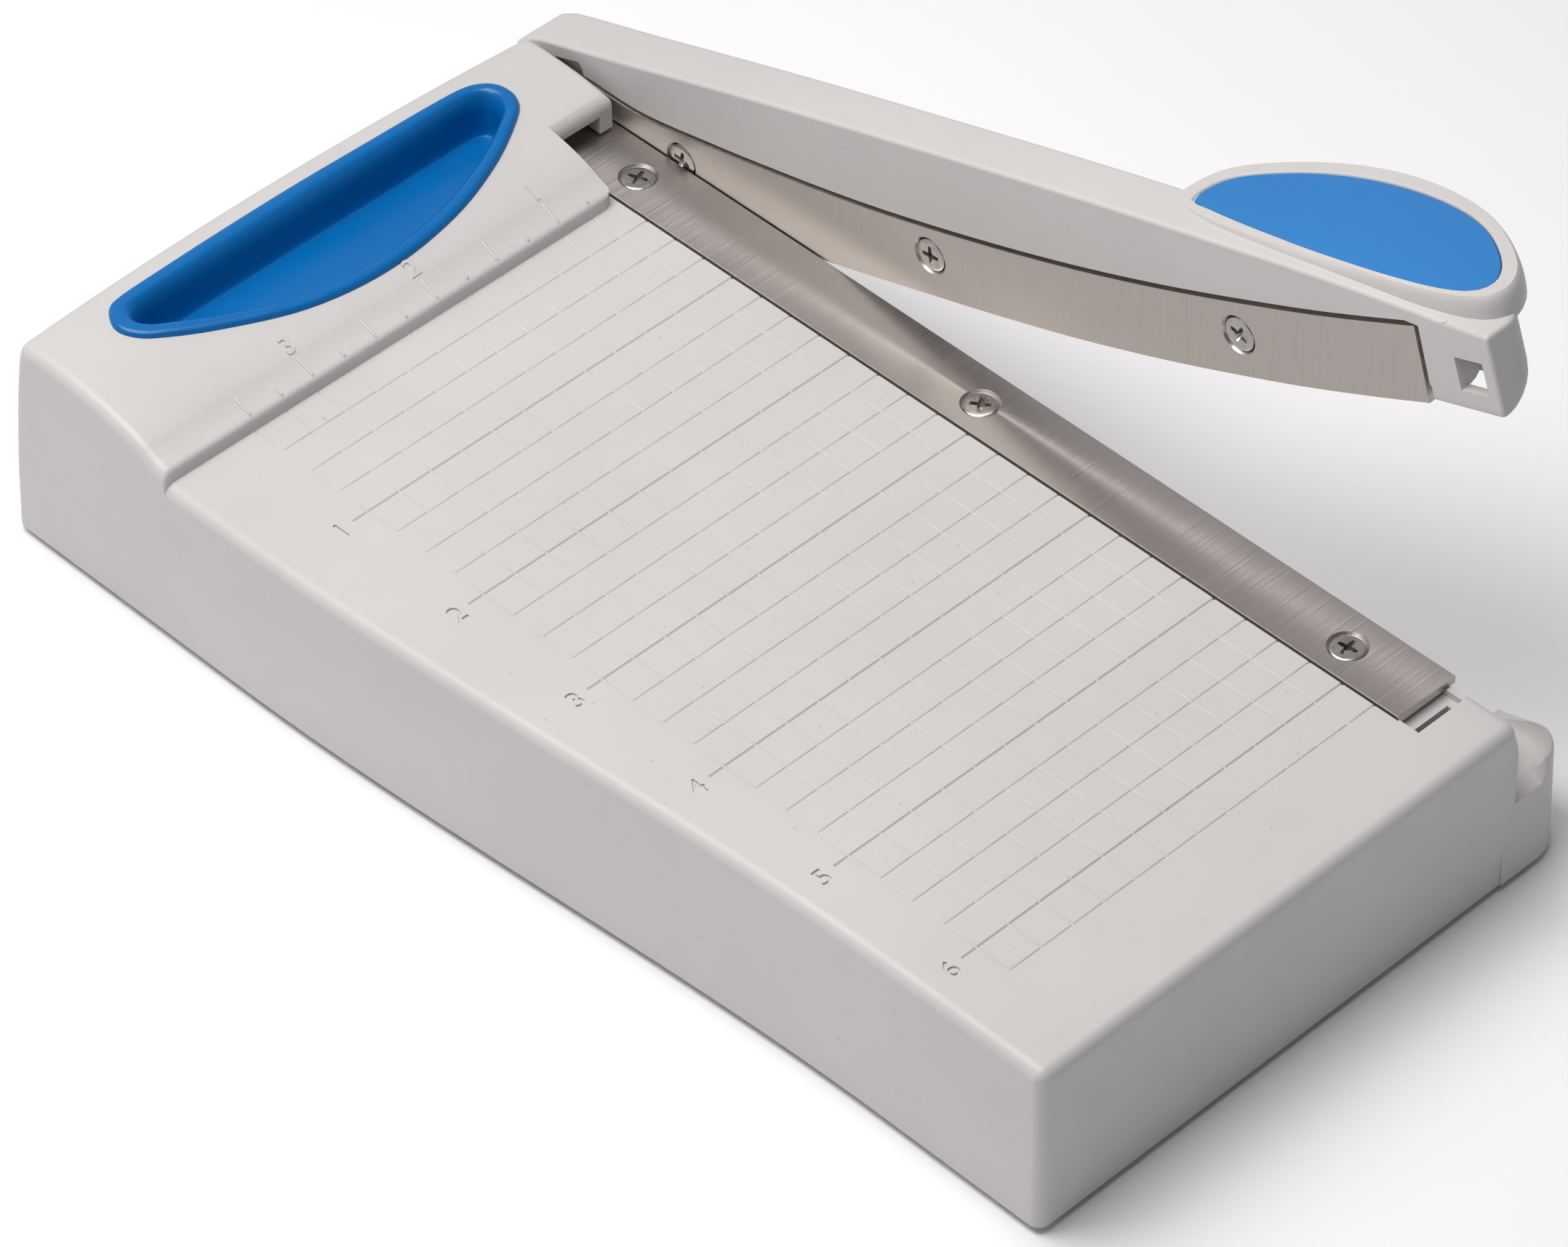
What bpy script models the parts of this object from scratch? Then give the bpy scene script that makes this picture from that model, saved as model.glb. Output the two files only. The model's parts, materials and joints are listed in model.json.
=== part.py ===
"""Guillotine paper trimmer for small sheets: a ruled board, a fixed steel strip and a blade on a lever arm.

Lengths are written in millimetres and turned into metres as meshes are made. The design frame has x = 0
on the cutting line, y = 0 on the front of the fence and z = 0 on the board. Everything hangs from the
empty "trimmer", which puts the middle of the footprint on the origin.
"""

import math

import bmesh
import bpy

MM = 0.001
GAP = 0.3

# Base
NEAR_Y = -176.5
FLOOR_Z = -31.3
SIDE_X = -1.5
LEFT_NEAR_X = -100.6
LEFT_FAR_X = -107.1
WALL = 2.4
FENCE_RIGHT_X = -2.0
FAR_BOW = 2.0
FEET_Z = -32.8

# Profile (y, z) of the fence's top, then of the far side
FENCE_TOP = [(0.4, 2.4), (2.8, 3.1), (5.9, 4.6), (12.1, 6.4), (18.3, 7.5), (26.7, 8.0), (29.6, 8.0)]
FENCE_HIGH_Z = 8.0
FAR_FACE = [
    (31.4, 7.9), (33.1, 7.0), (34.1, 4.9), (34.9, 0.0), (35.8, -7.3), (36.5, -12.5), (37.3, -20.7), (37.9, -30.9),
]

# Cutting strip
STRIP_X = (-13.05, -0.65)
STRIP_NEAR_Y = -163.0
STRIP_FAR_Y = 19.0
STRIP_THICK = 1.4
STRIP_TOP_Z = 0.15
STRIP_SEAT_X = -13.5
STRIP_SCREW_X = -7.2
STRIP_SCREW_PITCH = 75.0
STRIP_SCREW_FIRST_Y = 2.2

# Fence
NOTCH_LEFT_X = -14.3
BRIDGE_Y = 13.5

# Latch shelf
SHELF_Y = -161.3
SHELF_FLOOR_Z = -16.4
SHELF_RIGHT_X = 12.0
SHELF_LIP_Z = -12.4
SHELF_CORNER_R = 7.5

# End of the shelf's channel, measured from the wall beside it
CHANNEL_RIGHT_X = 9.9
CHANNEL_ROUND = 4.5

# Pocket in front of the strip
POCKET_X = (-13.2, -3.0)
POCKET_Y = (-167.1, STRIP_NEAR_Y)
POCKET_FLOOR_Z = -2.1
POCKET_SLOT_X = (-12.3, -4.4)
POCKET_SLOT_Y = (-167.1, -164.9)
POCKET_RIM_Z = -0.9

# Bottom cover with its screws and feet
COVER_Z = FLOOR_Z + 2.2
SCREW_BOSSES = [(-92.0, -164.0), (-97.5, 8.5), (-22.0, -150.0), (-21.0, 8.5)]
BOSS_R = 3.6
FOOT_R = 5.0
FOOT_PLACES = [(-91.0, -152.0), (-94.5, 18.0), (-16.0, -130.0), (-16.0, 18.0)]
FOOT_SOCKET = 0.6

# Hinge and arm, described with the arm closed
PIVOT_Y = 27.0
PIVOT_Z = -4.0
ARM_RAISED_DEG = 19.5
ARM_LEFT_X = -0.25
ARM_RIGHT_X = 9.4
BLADE_LEFT_X = -0.45
BLADE_THICK = 1.5
BLADE_SEAT_X = BLADE_LEFT_X + BLADE_THICK + GAP
TIP_Y = -176.0
TIP_BLOCK_Y = -162.2
TIP_BOTTOM_Z = -15.4
TIP_HOLE_Y = -170.9
TIP_HOLE_Z = -9.6
TIP_HOLE = 5.4
TIP_HOLLOW_X = (1.5, 7.6)
TIP_HOLLOW_Y = (-174.2, -164.0)
TIP_HOLLOW_Z = -5.0
BOLT_R = 2.45
HUB_R = 8.6
HUB_BORE_R = 2.65
BLADE_SCREWS = [(-0.6, -8.5), (-56.7, -13.9), (-123.5, -13.1)]
PAD_TOP_Z = 3.4
PAD_THICK = 5.2

# Hinge stack along x, from the bush inwards
BUSH_END_X = -8.3
WASHER_X = (-9.4, -8.6)
SPRING_X = (-12.3, -9.7)
END_WASHER_X = (-13.3, -12.6)
NUT_X = (-16.6, -13.6)
BOLT_END_X = -17.2
WASHER_R = 4.4
NUT_CORNER_R = 4.6
SPRING_R = 3.6
SPRING_WIRE_R = 0.35
SPRING_TURNS = 1.75

# Latch
LATCH_Y = -170.4
LATCH_Z = -9.4
LATCH_TONGUE = 3.8
LATCH_X = (-24.0, -3.6)
LATCH_STEM = 3.5
LATCH_TRAVEL = 8.0
LATCH_WING_X = (-27.0, -17.5)
LATCH_WING_Y = (-172.3, -166.4)
LATCH_WING_THICK = 1.5

# Fasteners
SCREW_HEAD_R = 2.8
SCREW_SHANK_R = 1.45
PILOT_R = 1.75

# The footprint's middle and the feet, in the design frame
CENTRE_X = -40.18
CENTRE_Y = -68.30

# Side outlines (y, z) of the closed arm
BLADE_EDGE = [
    (-161.1, -16.0), (-150, -17.5), (-135, -19.2), (-120, -20.4), (-105, -21.3), (-88, -21.8), (-72, -21.7),
    (-57, -21.3), (-28, -20.1), (0, -17.5), (18, -13.3),
]
BLADE_TOP = [
    (18.5, 2.0), (6.3, -2.1), (-10, -4.55), (-20, -5.8), (-35, -7.4), (-50, -8.5), (-70, -9.2), (-90, -9.25),
    (-110, -8.5), (-130, -7.0), (-145, -5.5), (-161.5, -3.3),
]
ARM_TOP = [
    (35.3, 6.6), (30, 7.7), (24, 7.75), (10, 7.35), (-6.6, 7.05), (-30, 6.5), (-63.5, 5.3), (-90, 4.2),
    (-112, 3.0), (-143, 1.0), (-163, -0.9), (TIP_Y, -2.3),
]

# Outlines (x, y) of the handle, of the inlay in it and of the tray's rim
LEAF = [
    (9.0, -107.6), (17.0, -110.2), (23.6, -121.3), (26.6, -134), (25.8, -147), (21.6, -159.3),
    (14.2, -170.2), (8.0, -174.4), (3.4, -172.6), (1.5, -165), (1.3, -152), (1.9, -133), (3.0, -119),
    (5.4, -110),
]
INSERT = [
    (7.0, -111.8), (13.7, -112.3), (18.6, -118.9), (21.9, -127.8), (23.1, -138), (22.1, -149.2),
    (19.0, -158.8), (13.7, -166.7), (8.7, -170.7), (4.7, -170.1), (2.9, -164.6), (2.6, -154), (3.2, -142),
    (4.3, -128), (5.6, -117.3),
]
TRAY = [
    (-92.4, 28.9), (-89.5, 30.0), (-82, 30.4), (-70, 30.8), (-54, 31.0), (-38, 30.7), (-26, 30.4), (-19, 29.9),
    (-15.6, 28.4), (-13.8, 25.8), (-13.9, 22.4), (-16.6, 19.3), (-26, 14.1), (-38.5, 10.0), (-54, 8.3),
    (-69, 10.0), (-82, 14.8), (-90.5, 19.3), (-93.6, 22.2), (-94.4, 25.4),
]
TRAY_FLOOR = [
    (-88.2, 25.3), (-86.4, 25.7), (-80.5, 25.8), (-69.5, 25.9), (-54, 26.0), (-38.5, 26.1), (-27, 26.3),
    (-21, 26.3), (-18.6, 25.8), (-17.8, 24.8), (-18.0, 23.4), (-20.0, 21.6), (-28, 17.6), (-40, 13.9),
    (-54, 12.5), (-67.5, 14.0), (-79.5, 18.5), (-86.5, 22.3), (-88.4, 23.6), (-89.0, 24.6),
]
TRAY_FLOOR_Z = 1.0


# ---------------------------------------------------------------- drawing helpers


def smooth(points, steps=4, closed=False):
    """Points read from a Catmull-Rom curve through the given ones."""
    count = len(points)
    spans = count if closed else count - 1
    curve = []
    for i in range(spans):
        if closed:
            p0, p1, p2, p3 = (points[(i + k) % count] for k in (-1, 0, 1, 2))
        else:
            p0, p1, p2, p3 = (points[min(max(i + k, 0), count - 1)] for k in (-1, 0, 1, 2))
        for step in range(steps):
            t = step / steps
            curve.append(tuple(
                b + 0.5 * t * (c - a + t * (2 * a - 5 * b + 4 * c - d + t * (3 * b - a - 3 * c + d)))
                for a, b, c, d in zip(p0, p1, p2, p3)
            ))
    if not closed:
        curve.append(tuple(float(v) for v in points[-1]))
    return curve


def area(outline):
    return 0.5 * sum(a[0] * b[1] - b[0] * a[1] for a, b in zip(outline, outline[1:] + outline[:1]))


def grown(outline, by):
    """A closed outline pushed outwards by a distance, or inwards by a negative one."""
    side = 1 if area(outline) > 0 else -1
    moved = []
    for i, (x, y) in enumerate(outline):
        ax, ay = outline[i - 1]
        bx, by_ = outline[(i + 1) % len(outline)]
        length = math.hypot(bx - ax, by_ - ay)
        moved.append((x + side * by * (by_ - ay) / length, y - side * by * (bx - ax) / length))
    return moved


def circle(u, v, radius, sides=32):
    return [
        (u + radius * math.cos(2 * math.pi * i / sides), v + radius * math.sin(2 * math.pi * i / sides))
        for i in range(sides)
    ]


def material(name, colour, roughness, metallic=0.0):
    made = bpy.data.materials.new(name)
    made.use_nodes = True
    shader = made.node_tree.nodes["Principled BSDF"]
    shader.inputs["Base Color"].default_value = (*colour, 1)
    shader.inputs["Roughness"].default_value = roughness
    shader.inputs["Metallic"].default_value = metallic
    return made


def empty(name, location, parent=None, tilt_deg=0.0):
    made = bpy.data.objects.new(name, None)
    bpy.context.collection.objects.link(made)
    made.location = [v * MM for v in location]
    made.rotation_euler.x = math.radians(tilt_deg)
    made.parent = parent
    return made


class Place:
    """Where new meshes go: under an empty, with coordinates counted from that empty's design position."""

    def __init__(self, parent, origin):
        self.parent = parent
        self.origin = origin


def add(name, place, mesh, surface):
    """Makes an object from a bmesh drawn in design millimetres."""
    bmesh.ops.recalc_face_normals(mesh, faces=mesh.faces)
    for vertex in mesh.verts:
        for axis in range(3):
            vertex.co[axis] = (vertex.co[axis] - place.origin[axis]) * MM
    data = bpy.data.meshes.new(name)
    mesh.to_mesh(data)
    mesh.free()
    made = bpy.data.objects.new(name, data)
    bpy.context.collection.objects.link(made)
    made.parent = place.parent
    if surface is None:
        made.hide_render = True
        made.display_type = "WIRE"
    else:
        data.materials.append(surface)
    return made


def extruded(outline, axis, low, high):
    """A prism: the outline lies across the axis, in the order of the two other axes."""
    mesh = bmesh.new()
    ends = []
    for level in (low, high):
        ring = []
        for u, v in outline:
            point = {"x": (level, u, v), "y": (u, level, v), "z": (u, v, level)}[axis]
            ring.append(mesh.verts.new(point))
        ends.append(ring)
    mesh.faces.new(ends[0])
    mesh.faces.new(reversed(ends[1]))
    for i in range(len(outline)):
        j = (i + 1) % len(outline)
        mesh.faces.new((ends[0][i], ends[0][j], ends[1][j], ends[1][i]))
    return mesh


def box(x, y, z):
    return extruded([(x[0], y[0]), (x[1], y[0]), (x[1], y[1]), (x[0], y[1])], "z", *z)


def lofted(rings):
    """A solid skinned over rings of points that match one another, with its two ends capped."""
    mesh = bmesh.new()
    made = [[mesh.verts.new(point) for point in ring] for ring in rings]
    for lower, upper in zip(made, made[1:]):
        for i in range(len(lower)):
            j = (i + 1) % len(lower)
            mesh.faces.new((lower[i], lower[j], upper[j], upper[i]))
    mesh.faces.new(made[0])
    mesh.faces.new(reversed(made[-1]))
    return mesh


def turned(axis, centre, profile, sides=24):
    """A solid of revolution. The profile lists (radius, position along the axis), end to end."""
    rings = []
    for radius, along in profile:
        ring = []
        for u, v in circle(0, 0, radius, sides):
            point = {"x": (along, u, v), "y": (u, along, v), "z": (u, v, along)}[axis]
            ring.append(tuple(c + p for c, p in zip(centre, point)))
        rings.append(ring)
    return lofted(rings)


def rounded_edges(mesh, chosen, radius, segments=5):
    """Rounds the edges for which chosen(a, b) is true, with a and b their end points."""
    edges = [edge for edge in mesh.edges if chosen(edge.verts[0].co, edge.verts[1].co)]
    bmesh.ops.bevel(mesh, geom=edges, offset=radius, segments=segments, profile=0.5, affect="EDGES")
    return mesh


def combine(target, operation, *others):
    for other in others:
        modifier = target.modifiers.new(other.name, "BOOLEAN")
        modifier.operation = operation
        modifier.solver = "EXACT"
        modifier.object = other


class Tools:
    """Hidden helper solids, numbered by the piece that they shape."""

    def __init__(self, name, place):
        self.name = name
        self.place = place
        self.count = 0

    def solid(self, mesh):
        self.count += 1
        return add(f"shape_{self.name}_{self.count}", self.place, mesh, None)


# ---------------------------------------------------------------- base


def left_x(y):
    """The left edge swings out gently towards the fence."""
    t = min(max((-y - 15) / 130, 0), 1)
    return LEFT_NEAR_X + (LEFT_FAR_X - LEFT_NEAR_X) * (1 - t * t * (3 - 2 * t))


def bow(x, y):
    """The far side is bowed outwards; the effect fades out over the fence."""
    across = (x - (LEFT_FAR_X + SIDE_X) / 2) / ((SIDE_X - LEFT_FAR_X) / 2)
    fade = min(max((y - 5) / 20, 0), 1)
    return FAR_BOW * (1 - across * across) * fade


def fence_z(y):
    """Height of the fence's top surface along a line square to it."""
    points = [(0.0, 2.0)] + FENCE_TOP + FAR_FACE
    for (y0, z0), (y1, z1) in zip(points, points[1:]):
        if y <= y1:
            return z0 + (z1 - z0) * (y - y0) / (y1 - y0)
    return points[-1][1]


def base_body(inset, bottom):
    """The board and fence as a solid over its footprint, drawn smaller all round by the inset."""
    profile = [(NEAR_Y + inset, -inset)] + [(y, -inset) for y in range(-160, 0, 16)]
    profile.append((inset * 0.5, -inset))
    profile += [(y + inset * 0.5, z - inset) for y, z in FENCE_TOP if y < 28]
    profile += [(y - inset, min(z - inset * 0.35, FENCE_HIGH_Z - inset)) for y, z in FAR_FACE]
    profile = [p for i, p in enumerate(profile) if i == 0 or p[0] > profile[i - 1][0] + 1e-6]
    steps = 12
    mesh = bmesh.new()
    top = []
    floor = []
    for y, z in profile:
        row_top = []
        row_floor = []
        for i in range(steps + 1):
            start = left_x(y) + inset
            x = start + (SIDE_X - inset - start) * i / steps
            moved = y + bow(x, y)
            row_top.append(mesh.verts.new((x, moved, max(z, bottom + 0.3))))
            row_floor.append(mesh.verts.new((x, moved, bottom)))
        top.append(row_top)
        floor.append(row_floor)
    for rows in (top, floor):
        for near, far in zip(rows, rows[1:]):
            for i in range(steps):
                mesh.faces.new((near[i], near[i + 1], far[i + 1], far[i]))
    for upper, lower in ((top[0], floor[0]), (top[-1], floor[-1])):
        for i in range(steps):
            mesh.faces.new((upper[i], upper[i + 1], lower[i + 1], lower[i]))
    for side in (0, -1):
        for j in range(len(profile) - 1):
            mesh.faces.new((top[j][side], top[j + 1][side], floor[j + 1][side], floor[j][side]))
    return mesh


def shelf_outline(inset):
    """Footprint of the latch shelf, with its near right corner rounded."""
    radius = SHELF_CORNER_R - inset
    near = NEAR_Y + inset
    right = SHELF_RIGHT_X - inset
    far = SHELF_Y - inset
    corner = [
        (right - radius + radius * math.sin(a), near + radius - radius * math.cos(a))
        for a in (math.radians(15 * k) for k in range(7))
    ]
    return [(SIDE_X - 3 + inset * 0.6, near)] + corner + [(right, far), (SIDE_X - 3 + inset * 0.6, far)]


def channel():
    """The space on the shelf that the arm's end block drops into."""
    mesh = box((SIDE_X - 0.4, CHANNEL_RIGHT_X), (NEAR_Y - 4, SHELF_Y + 1), (SHELF_FLOOR_Z, 3))
    low = SHELF_FLOOR_Z + 1
    return rounded_edges(mesh, lambda a, b: min(a.x, b.x) > 9 and max(a.z, b.z) < low, CHANNEL_ROUND)


def base_shell(place, surface):
    shell = add("base_shell", place, base_body(0, FLOOR_Z), surface)
    tool = Tools("base", place)
    shelf = tool.solid(extruded(shelf_outline(0), "z", FLOOR_Z, SHELF_LIP_Z))
    combine(shell, "UNION", shelf)
    hollow = tool.solid(base_body(WALL, FLOOR_Z - 2))
    under_shelf = tool.solid(extruded(shelf_outline(WALL), "z", FLOOR_Z - 2, SHELF_FLOOR_Z - WALL))
    combine(shell, "DIFFERENCE", hollow, under_shelf)
    bosses = [
        tool.solid(turned("z", (x, y, 0), [(BOSS_R, COVER_Z + GAP), (BOSS_R, -1.6 if y < 0 else 2.0)], 20))
        for x, y in SCREW_BOSSES
    ]
    ribs = [
        tool.solid(box((STRIP_SCREW_X - 3.2, STRIP_SCREW_X + 3.2), (y - 3.2, y + 3.2), (-10, -1.8)))
        for y in strip_screw_places()
    ]
    pivot_boss = tool.solid(
        turned("x", (0, PIVOT_Y, PIVOT_Z), [(5.6, -8.0), (5.6, SIDE_X - 0.5)], 24)
    )
    combine(shell, "UNION", *bosses, *ribs, pivot_boss)
    seat_y = (STRIP_NEAR_Y - 0.4, STRIP_FAR_Y + 0.5)
    strip_seat = box((STRIP_SEAT_X, 2), seat_y, (STRIP_TOP_Z - STRIP_THICK - GAP, 0.6))
    notch = box((NOTCH_LEFT_X, 2), (-0.6, BRIDGE_Y), (0, 20))
    under_bridge = box((-14.0, -4.6), (BRIDGE_Y - 1, STRIP_FAR_Y + 0.5), (-0.1, 4.0))
    beside_arm = box((FENCE_RIGHT_X, 2), (BRIDGE_Y - 1, 50), (0.1, 20))
    pocket = box(POCKET_X, POCKET_Y, (POCKET_FLOOR_Z, 2))
    pocket_slot = box(POCKET_SLOT_X, POCKET_SLOT_Y, (-8, 2))
    rim = box((POCKET_X[1] - 0.5, 2), (POCKET_Y[0] + 0.2, STRIP_NEAR_Y + 0.2), (POCKET_RIM_Z, 2))
    cuts = [strip_seat, notch, under_bridge, beside_arm, pocket, pocket_slot, rim, channel()]
    for x, y in SCREW_BOSSES:
        cuts.append(turned("z", (x, y, 0), [(1.25, COVER_Z - 1), (1.25, -8.0)], 16))
    pilot = [(PILOT_R, -11), (PILOT_R, -2.1), (2.3, -1.5), (2.3, 1)]
    for y in strip_screw_places():
        cuts.append(turned("z", (STRIP_SCREW_X, y, 0), pilot, 16))
    cuts.append(turned("x", (0, PIVOT_Y, PIVOT_Z), [(3.75, -10), (3.75, 0)], 24))
    half = TIP_HOLE / 2
    cuts.append(box((-6, 2), (TIP_HOLE_Y - half, TIP_HOLE_Y + half), (TIP_HOLE_Z - half, TIP_HOLE_Z + half)))
    combine(shell, "DIFFERENCE", *[tool.solid(cut) for cut in cuts])
    outline = smooth(TRAY, 2, closed=True)
    opening = tool.solid(extruded(grown(outline, -1.9), "z", -3, 20))
    seat = tool.solid(lofted([over_fence(grown(outline, GAP), -1.3), over_fence(grown(outline, GAP), 12)]))
    combine(shell, "DIFFERENCE", opening, seat)
    return shell


def over_fence(outline, above):
    """An outline draped at a height above the fence."""
    return [(x, y, fence_z(min(y - bow(x, y), 29.6)) + above) for x, y in outline]


def between(first, second, share):
    """An outline part of the way from one outline to another that matches it."""
    return [tuple(a + (b - a) * share for a, b in zip(p, q)) for p, q in zip(first, second)]


def at_height(outline, z):
    return [(x, y, z) for x, y in outline]


def storage_tray(place, surface):
    outline = smooth(TRAY, 2, closed=True)
    inside = grown(outline, -2.3)
    floor = smooth(TRAY_FLOOR, 2, closed=True)
    outer = [
        at_height(between(inside, floor, 0.7), TRAY_FLOOR_Z - 1.5),
        over_fence(inside, -2.4),
        over_fence(inside, -1.0),
        over_fence(outline, -1.0),
        over_fence(outline, 0.3),
        over_fence(grown(outline, -0.5), 0.7),
        over_fence(between(outline, floor, 0.35), 0.9),
    ]
    inner = [
        over_fence(between(outline, floor, 0.61), 0.2),
        over_fence(between(outline, floor, 0.76), -1.4),
        over_fence(between(outline, floor, 0.85), -3.2),
        at_height(between(outline, floor, 0.93), TRAY_FLOOR_Z + 0.6),
        at_height(floor, TRAY_FLOOR_Z),
    ]
    return add("storage_tray", place, lofted(outer + inner), surface)


def bottom_cover(place, surface):
    gap = WALL + GAP
    outline = [(left_x(y) + gap, y) for y in [NEAR_Y + gap, *range(-160, 30, 16), 30]]
    far_y = FAR_FACE[-1][0] - gap - 0.3
    outline += [(x, far_y + bow(x, far_y)) for x in (-104, -90, -72, -54, -36, -18, SIDE_X - gap)]
    outline.append((SIDE_X - gap, NEAR_Y + gap))
    cover = add("bottom_cover", place, extruded(outline, "z", FLOOR_Z, COVER_Z), surface)
    tool = Tools("cover", place)
    cuts = []
    sink = [(3.0, FLOOR_Z - 1), (3.0, FLOOR_Z + 0.2), (1.6, FLOOR_Z + 1.6), (1.6, COVER_Z + 1)]
    for x, y in SCREW_BOSSES:
        cuts.append(turned("z", (x, y, 0), sink, 16))
    slot_x = (LATCH_WING_X[0] - 0.6, LATCH_WING_X[1] + LATCH_TRAVEL + 0.5)
    slot_y = (LATCH_WING_Y[0] - 0.4, LATCH_WING_Y[1] + 0.4)
    cuts.append(box(slot_x, slot_y, (FLOOR_Z - 1, COVER_Z + 1)))
    socket = [(FOOT_R + GAP, FLOOR_Z - 1), (FOOT_R + GAP, FLOOR_Z + FOOT_SOCKET)]
    for x, y in FOOT_PLACES:
        cuts.append(turned("z", (x, y, 0), socket, 24))
    combine(cover, "DIFFERENCE", *[tool.solid(cut) for cut in cuts])
    return cover


def rubber_feet(place, surface):
    for number, (x, y) in enumerate(FOOT_PLACES, 1):
        top = FLOOR_Z + FOOT_SOCKET - GAP
        profile = [(FOOT_R - 0.5, FEET_Z), (FOOT_R, FEET_Z + 0.5), (FOOT_R, top)]
        add(f"rubber_foot_{number}", place, turned("z", (x, y, 0), profile, 24), surface)


# ---------------------------------------------------------------- screws


def cross_recess(axis, centre, face, depth, towards):
    """Cutter for a cross recess that narrows with depth."""
    shapes = []
    for across in (0, 1):
        rings = []
        for level, long, short in ((-0.2, 1.62, 0.42), (depth, 0.75, 0.25)):
            wide, high = (long, short) if across == 0 else (short, long)
            along = face + towards * level
            corners = [(-wide, -high), (wide, -high), (wide, high), (-wide, high)]
            ring = []
            for u, v in corners:
                point = {"x": (along, u, v), "z": (u, v, along)}[axis]
                ring.append(tuple(c + p for c, p in zip(centre, point)))
            rings.append(ring)
        shapes.append(lofted(rings))
    return shapes


def countersunk_screw(name, place, axis, centre, face, towards, length, surface):
    """A countersunk cross-head screw: its flat face lies at "face" and its shank runs "towards" the work."""
    head = 1.6
    profile = [
        (SCREW_HEAD_R - 0.15, face),
        (SCREW_HEAD_R, face + towards * 0.2),
        (SCREW_SHANK_R, face + towards * head),
        (SCREW_SHANK_R, face + towards * (length - 1)),
        (0.4, face + towards * length),
    ]
    screw = add(name, place, turned(axis, centre, profile, 20), surface)
    tool = Tools(name, place)
    cutters = [tool.solid(mesh) for mesh in cross_recess(axis, centre, face, 1.1, towards)]
    combine(screw, "DIFFERENCE", *cutters)
    return screw


def strip_screw_places():
    return [STRIP_SCREW_FIRST_Y - STRIP_SCREW_PITCH * k for k in range(3)]


def cover_screws(place, surface):
    for number, (x, y) in enumerate(SCREW_BOSSES, 1):
        profile = [
            (2.6, FLOOR_Z + 0.25), (2.6, FLOOR_Z + 0.4), (1.05, FLOOR_Z + 1.6 + GAP),
            (1.05, FLOOR_Z + 9), (0.3, FLOOR_Z + 10),
        ]
        name = f"cover_screw_{number}"
        screw = add(name, place, turned("z", (x, y, 0), profile, 20), surface)
        tool = Tools(name, place)
        cutters = cross_recess("z", (x, y, 0), FLOOR_Z + 0.25, 0.9, 1)
        combine(screw, "DIFFERENCE", *[tool.solid(mesh) for mesh in cutters])


# ---------------------------------------------------------------- cutting strip


def fixed_blade(place, surface):
    levels = (STRIP_TOP_Z - STRIP_THICK, STRIP_TOP_Z)
    strip = add("fixed_blade", place, box(STRIP_X, (STRIP_NEAR_Y, STRIP_FAR_Y), levels), surface)
    tool = Tools("fixed_blade", place)
    for y in strip_screw_places():
        hole = turned("z", (STRIP_SCREW_X, y, 0), [(2.5, -4), (2.5, -0.9), (3.2, 0.16), (3.3, 2)], 24)
        combine(strip, "DIFFERENCE", tool.solid(hole))
    return strip


def fixed_blade_screws(place, surface):
    for number, y in enumerate(strip_screw_places(), 1):
        name = f"fixed_blade_screw_{number}"
        countersunk_screw(name, place, "z", (STRIP_SCREW_X, y, 0), -0.05, -1, 8.0, surface)


# ---------------------------------------------------------------- arm


def hub_arc(radius, start, stop, count=8):
    angles = [math.radians(start + (stop - start) * k / count) for k in range(count + 1)]
    return [(PIVOT_Y + radius * math.cos(a), PIVOT_Z + radius * math.sin(a)) for a in angles]


def blade_outline():
    return smooth(BLADE_EDGE, 4) + hub_arc(HUB_R, -80, 80) + smooth(BLADE_TOP, 3)


def arm_outline():
    """Side view of the arm's outer walls, closed pose."""
    top = smooth(ARM_TOP, 3)
    lower = [(y, z + 2.6) for y, z in smooth(BLADE_EDGE, 4) if y < 12]
    return top + [(TIP_Y, lower[0][1]), (TIP_BLOCK_Y, lower[0][1])] + lower + hub_arc(HUB_R, -80, 10)


def arm_cavity():
    """Hollow of the arm between its two walls, open below."""
    top = [(y, z - 2.2) for y, z in smooth(ARM_TOP, 3) if -158 < y < 17]
    return top + [(-158, -40), (17, -40)]


def end_block():
    mesh = box((ARM_LEFT_X, ARM_RIGHT_X), (TIP_Y, TIP_BLOCK_Y), (TIP_BOTTOM_Z, -2.6))
    return rounded_edges(mesh, lambda a, b: min(a.x, b.x) > 9 and max(a.z, b.z) < TIP_BOTTOM_Z + 1, 5.0)


def leaf_slab(outline, low_under, high_under):
    """A slab under the handle's tilted top plane; the two depths are counted down from that plane."""
    return lofted([
        [(x, y, pad_z(y) - low_under) for x, y in outline],
        [(x, y, pad_z(y) - high_under) for x, y in outline],
    ])


def pad_z(y):
    """The handle's top plane falls a little towards the tip."""
    return PAD_TOP_Z + 0.028 * (y + 110)


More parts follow.
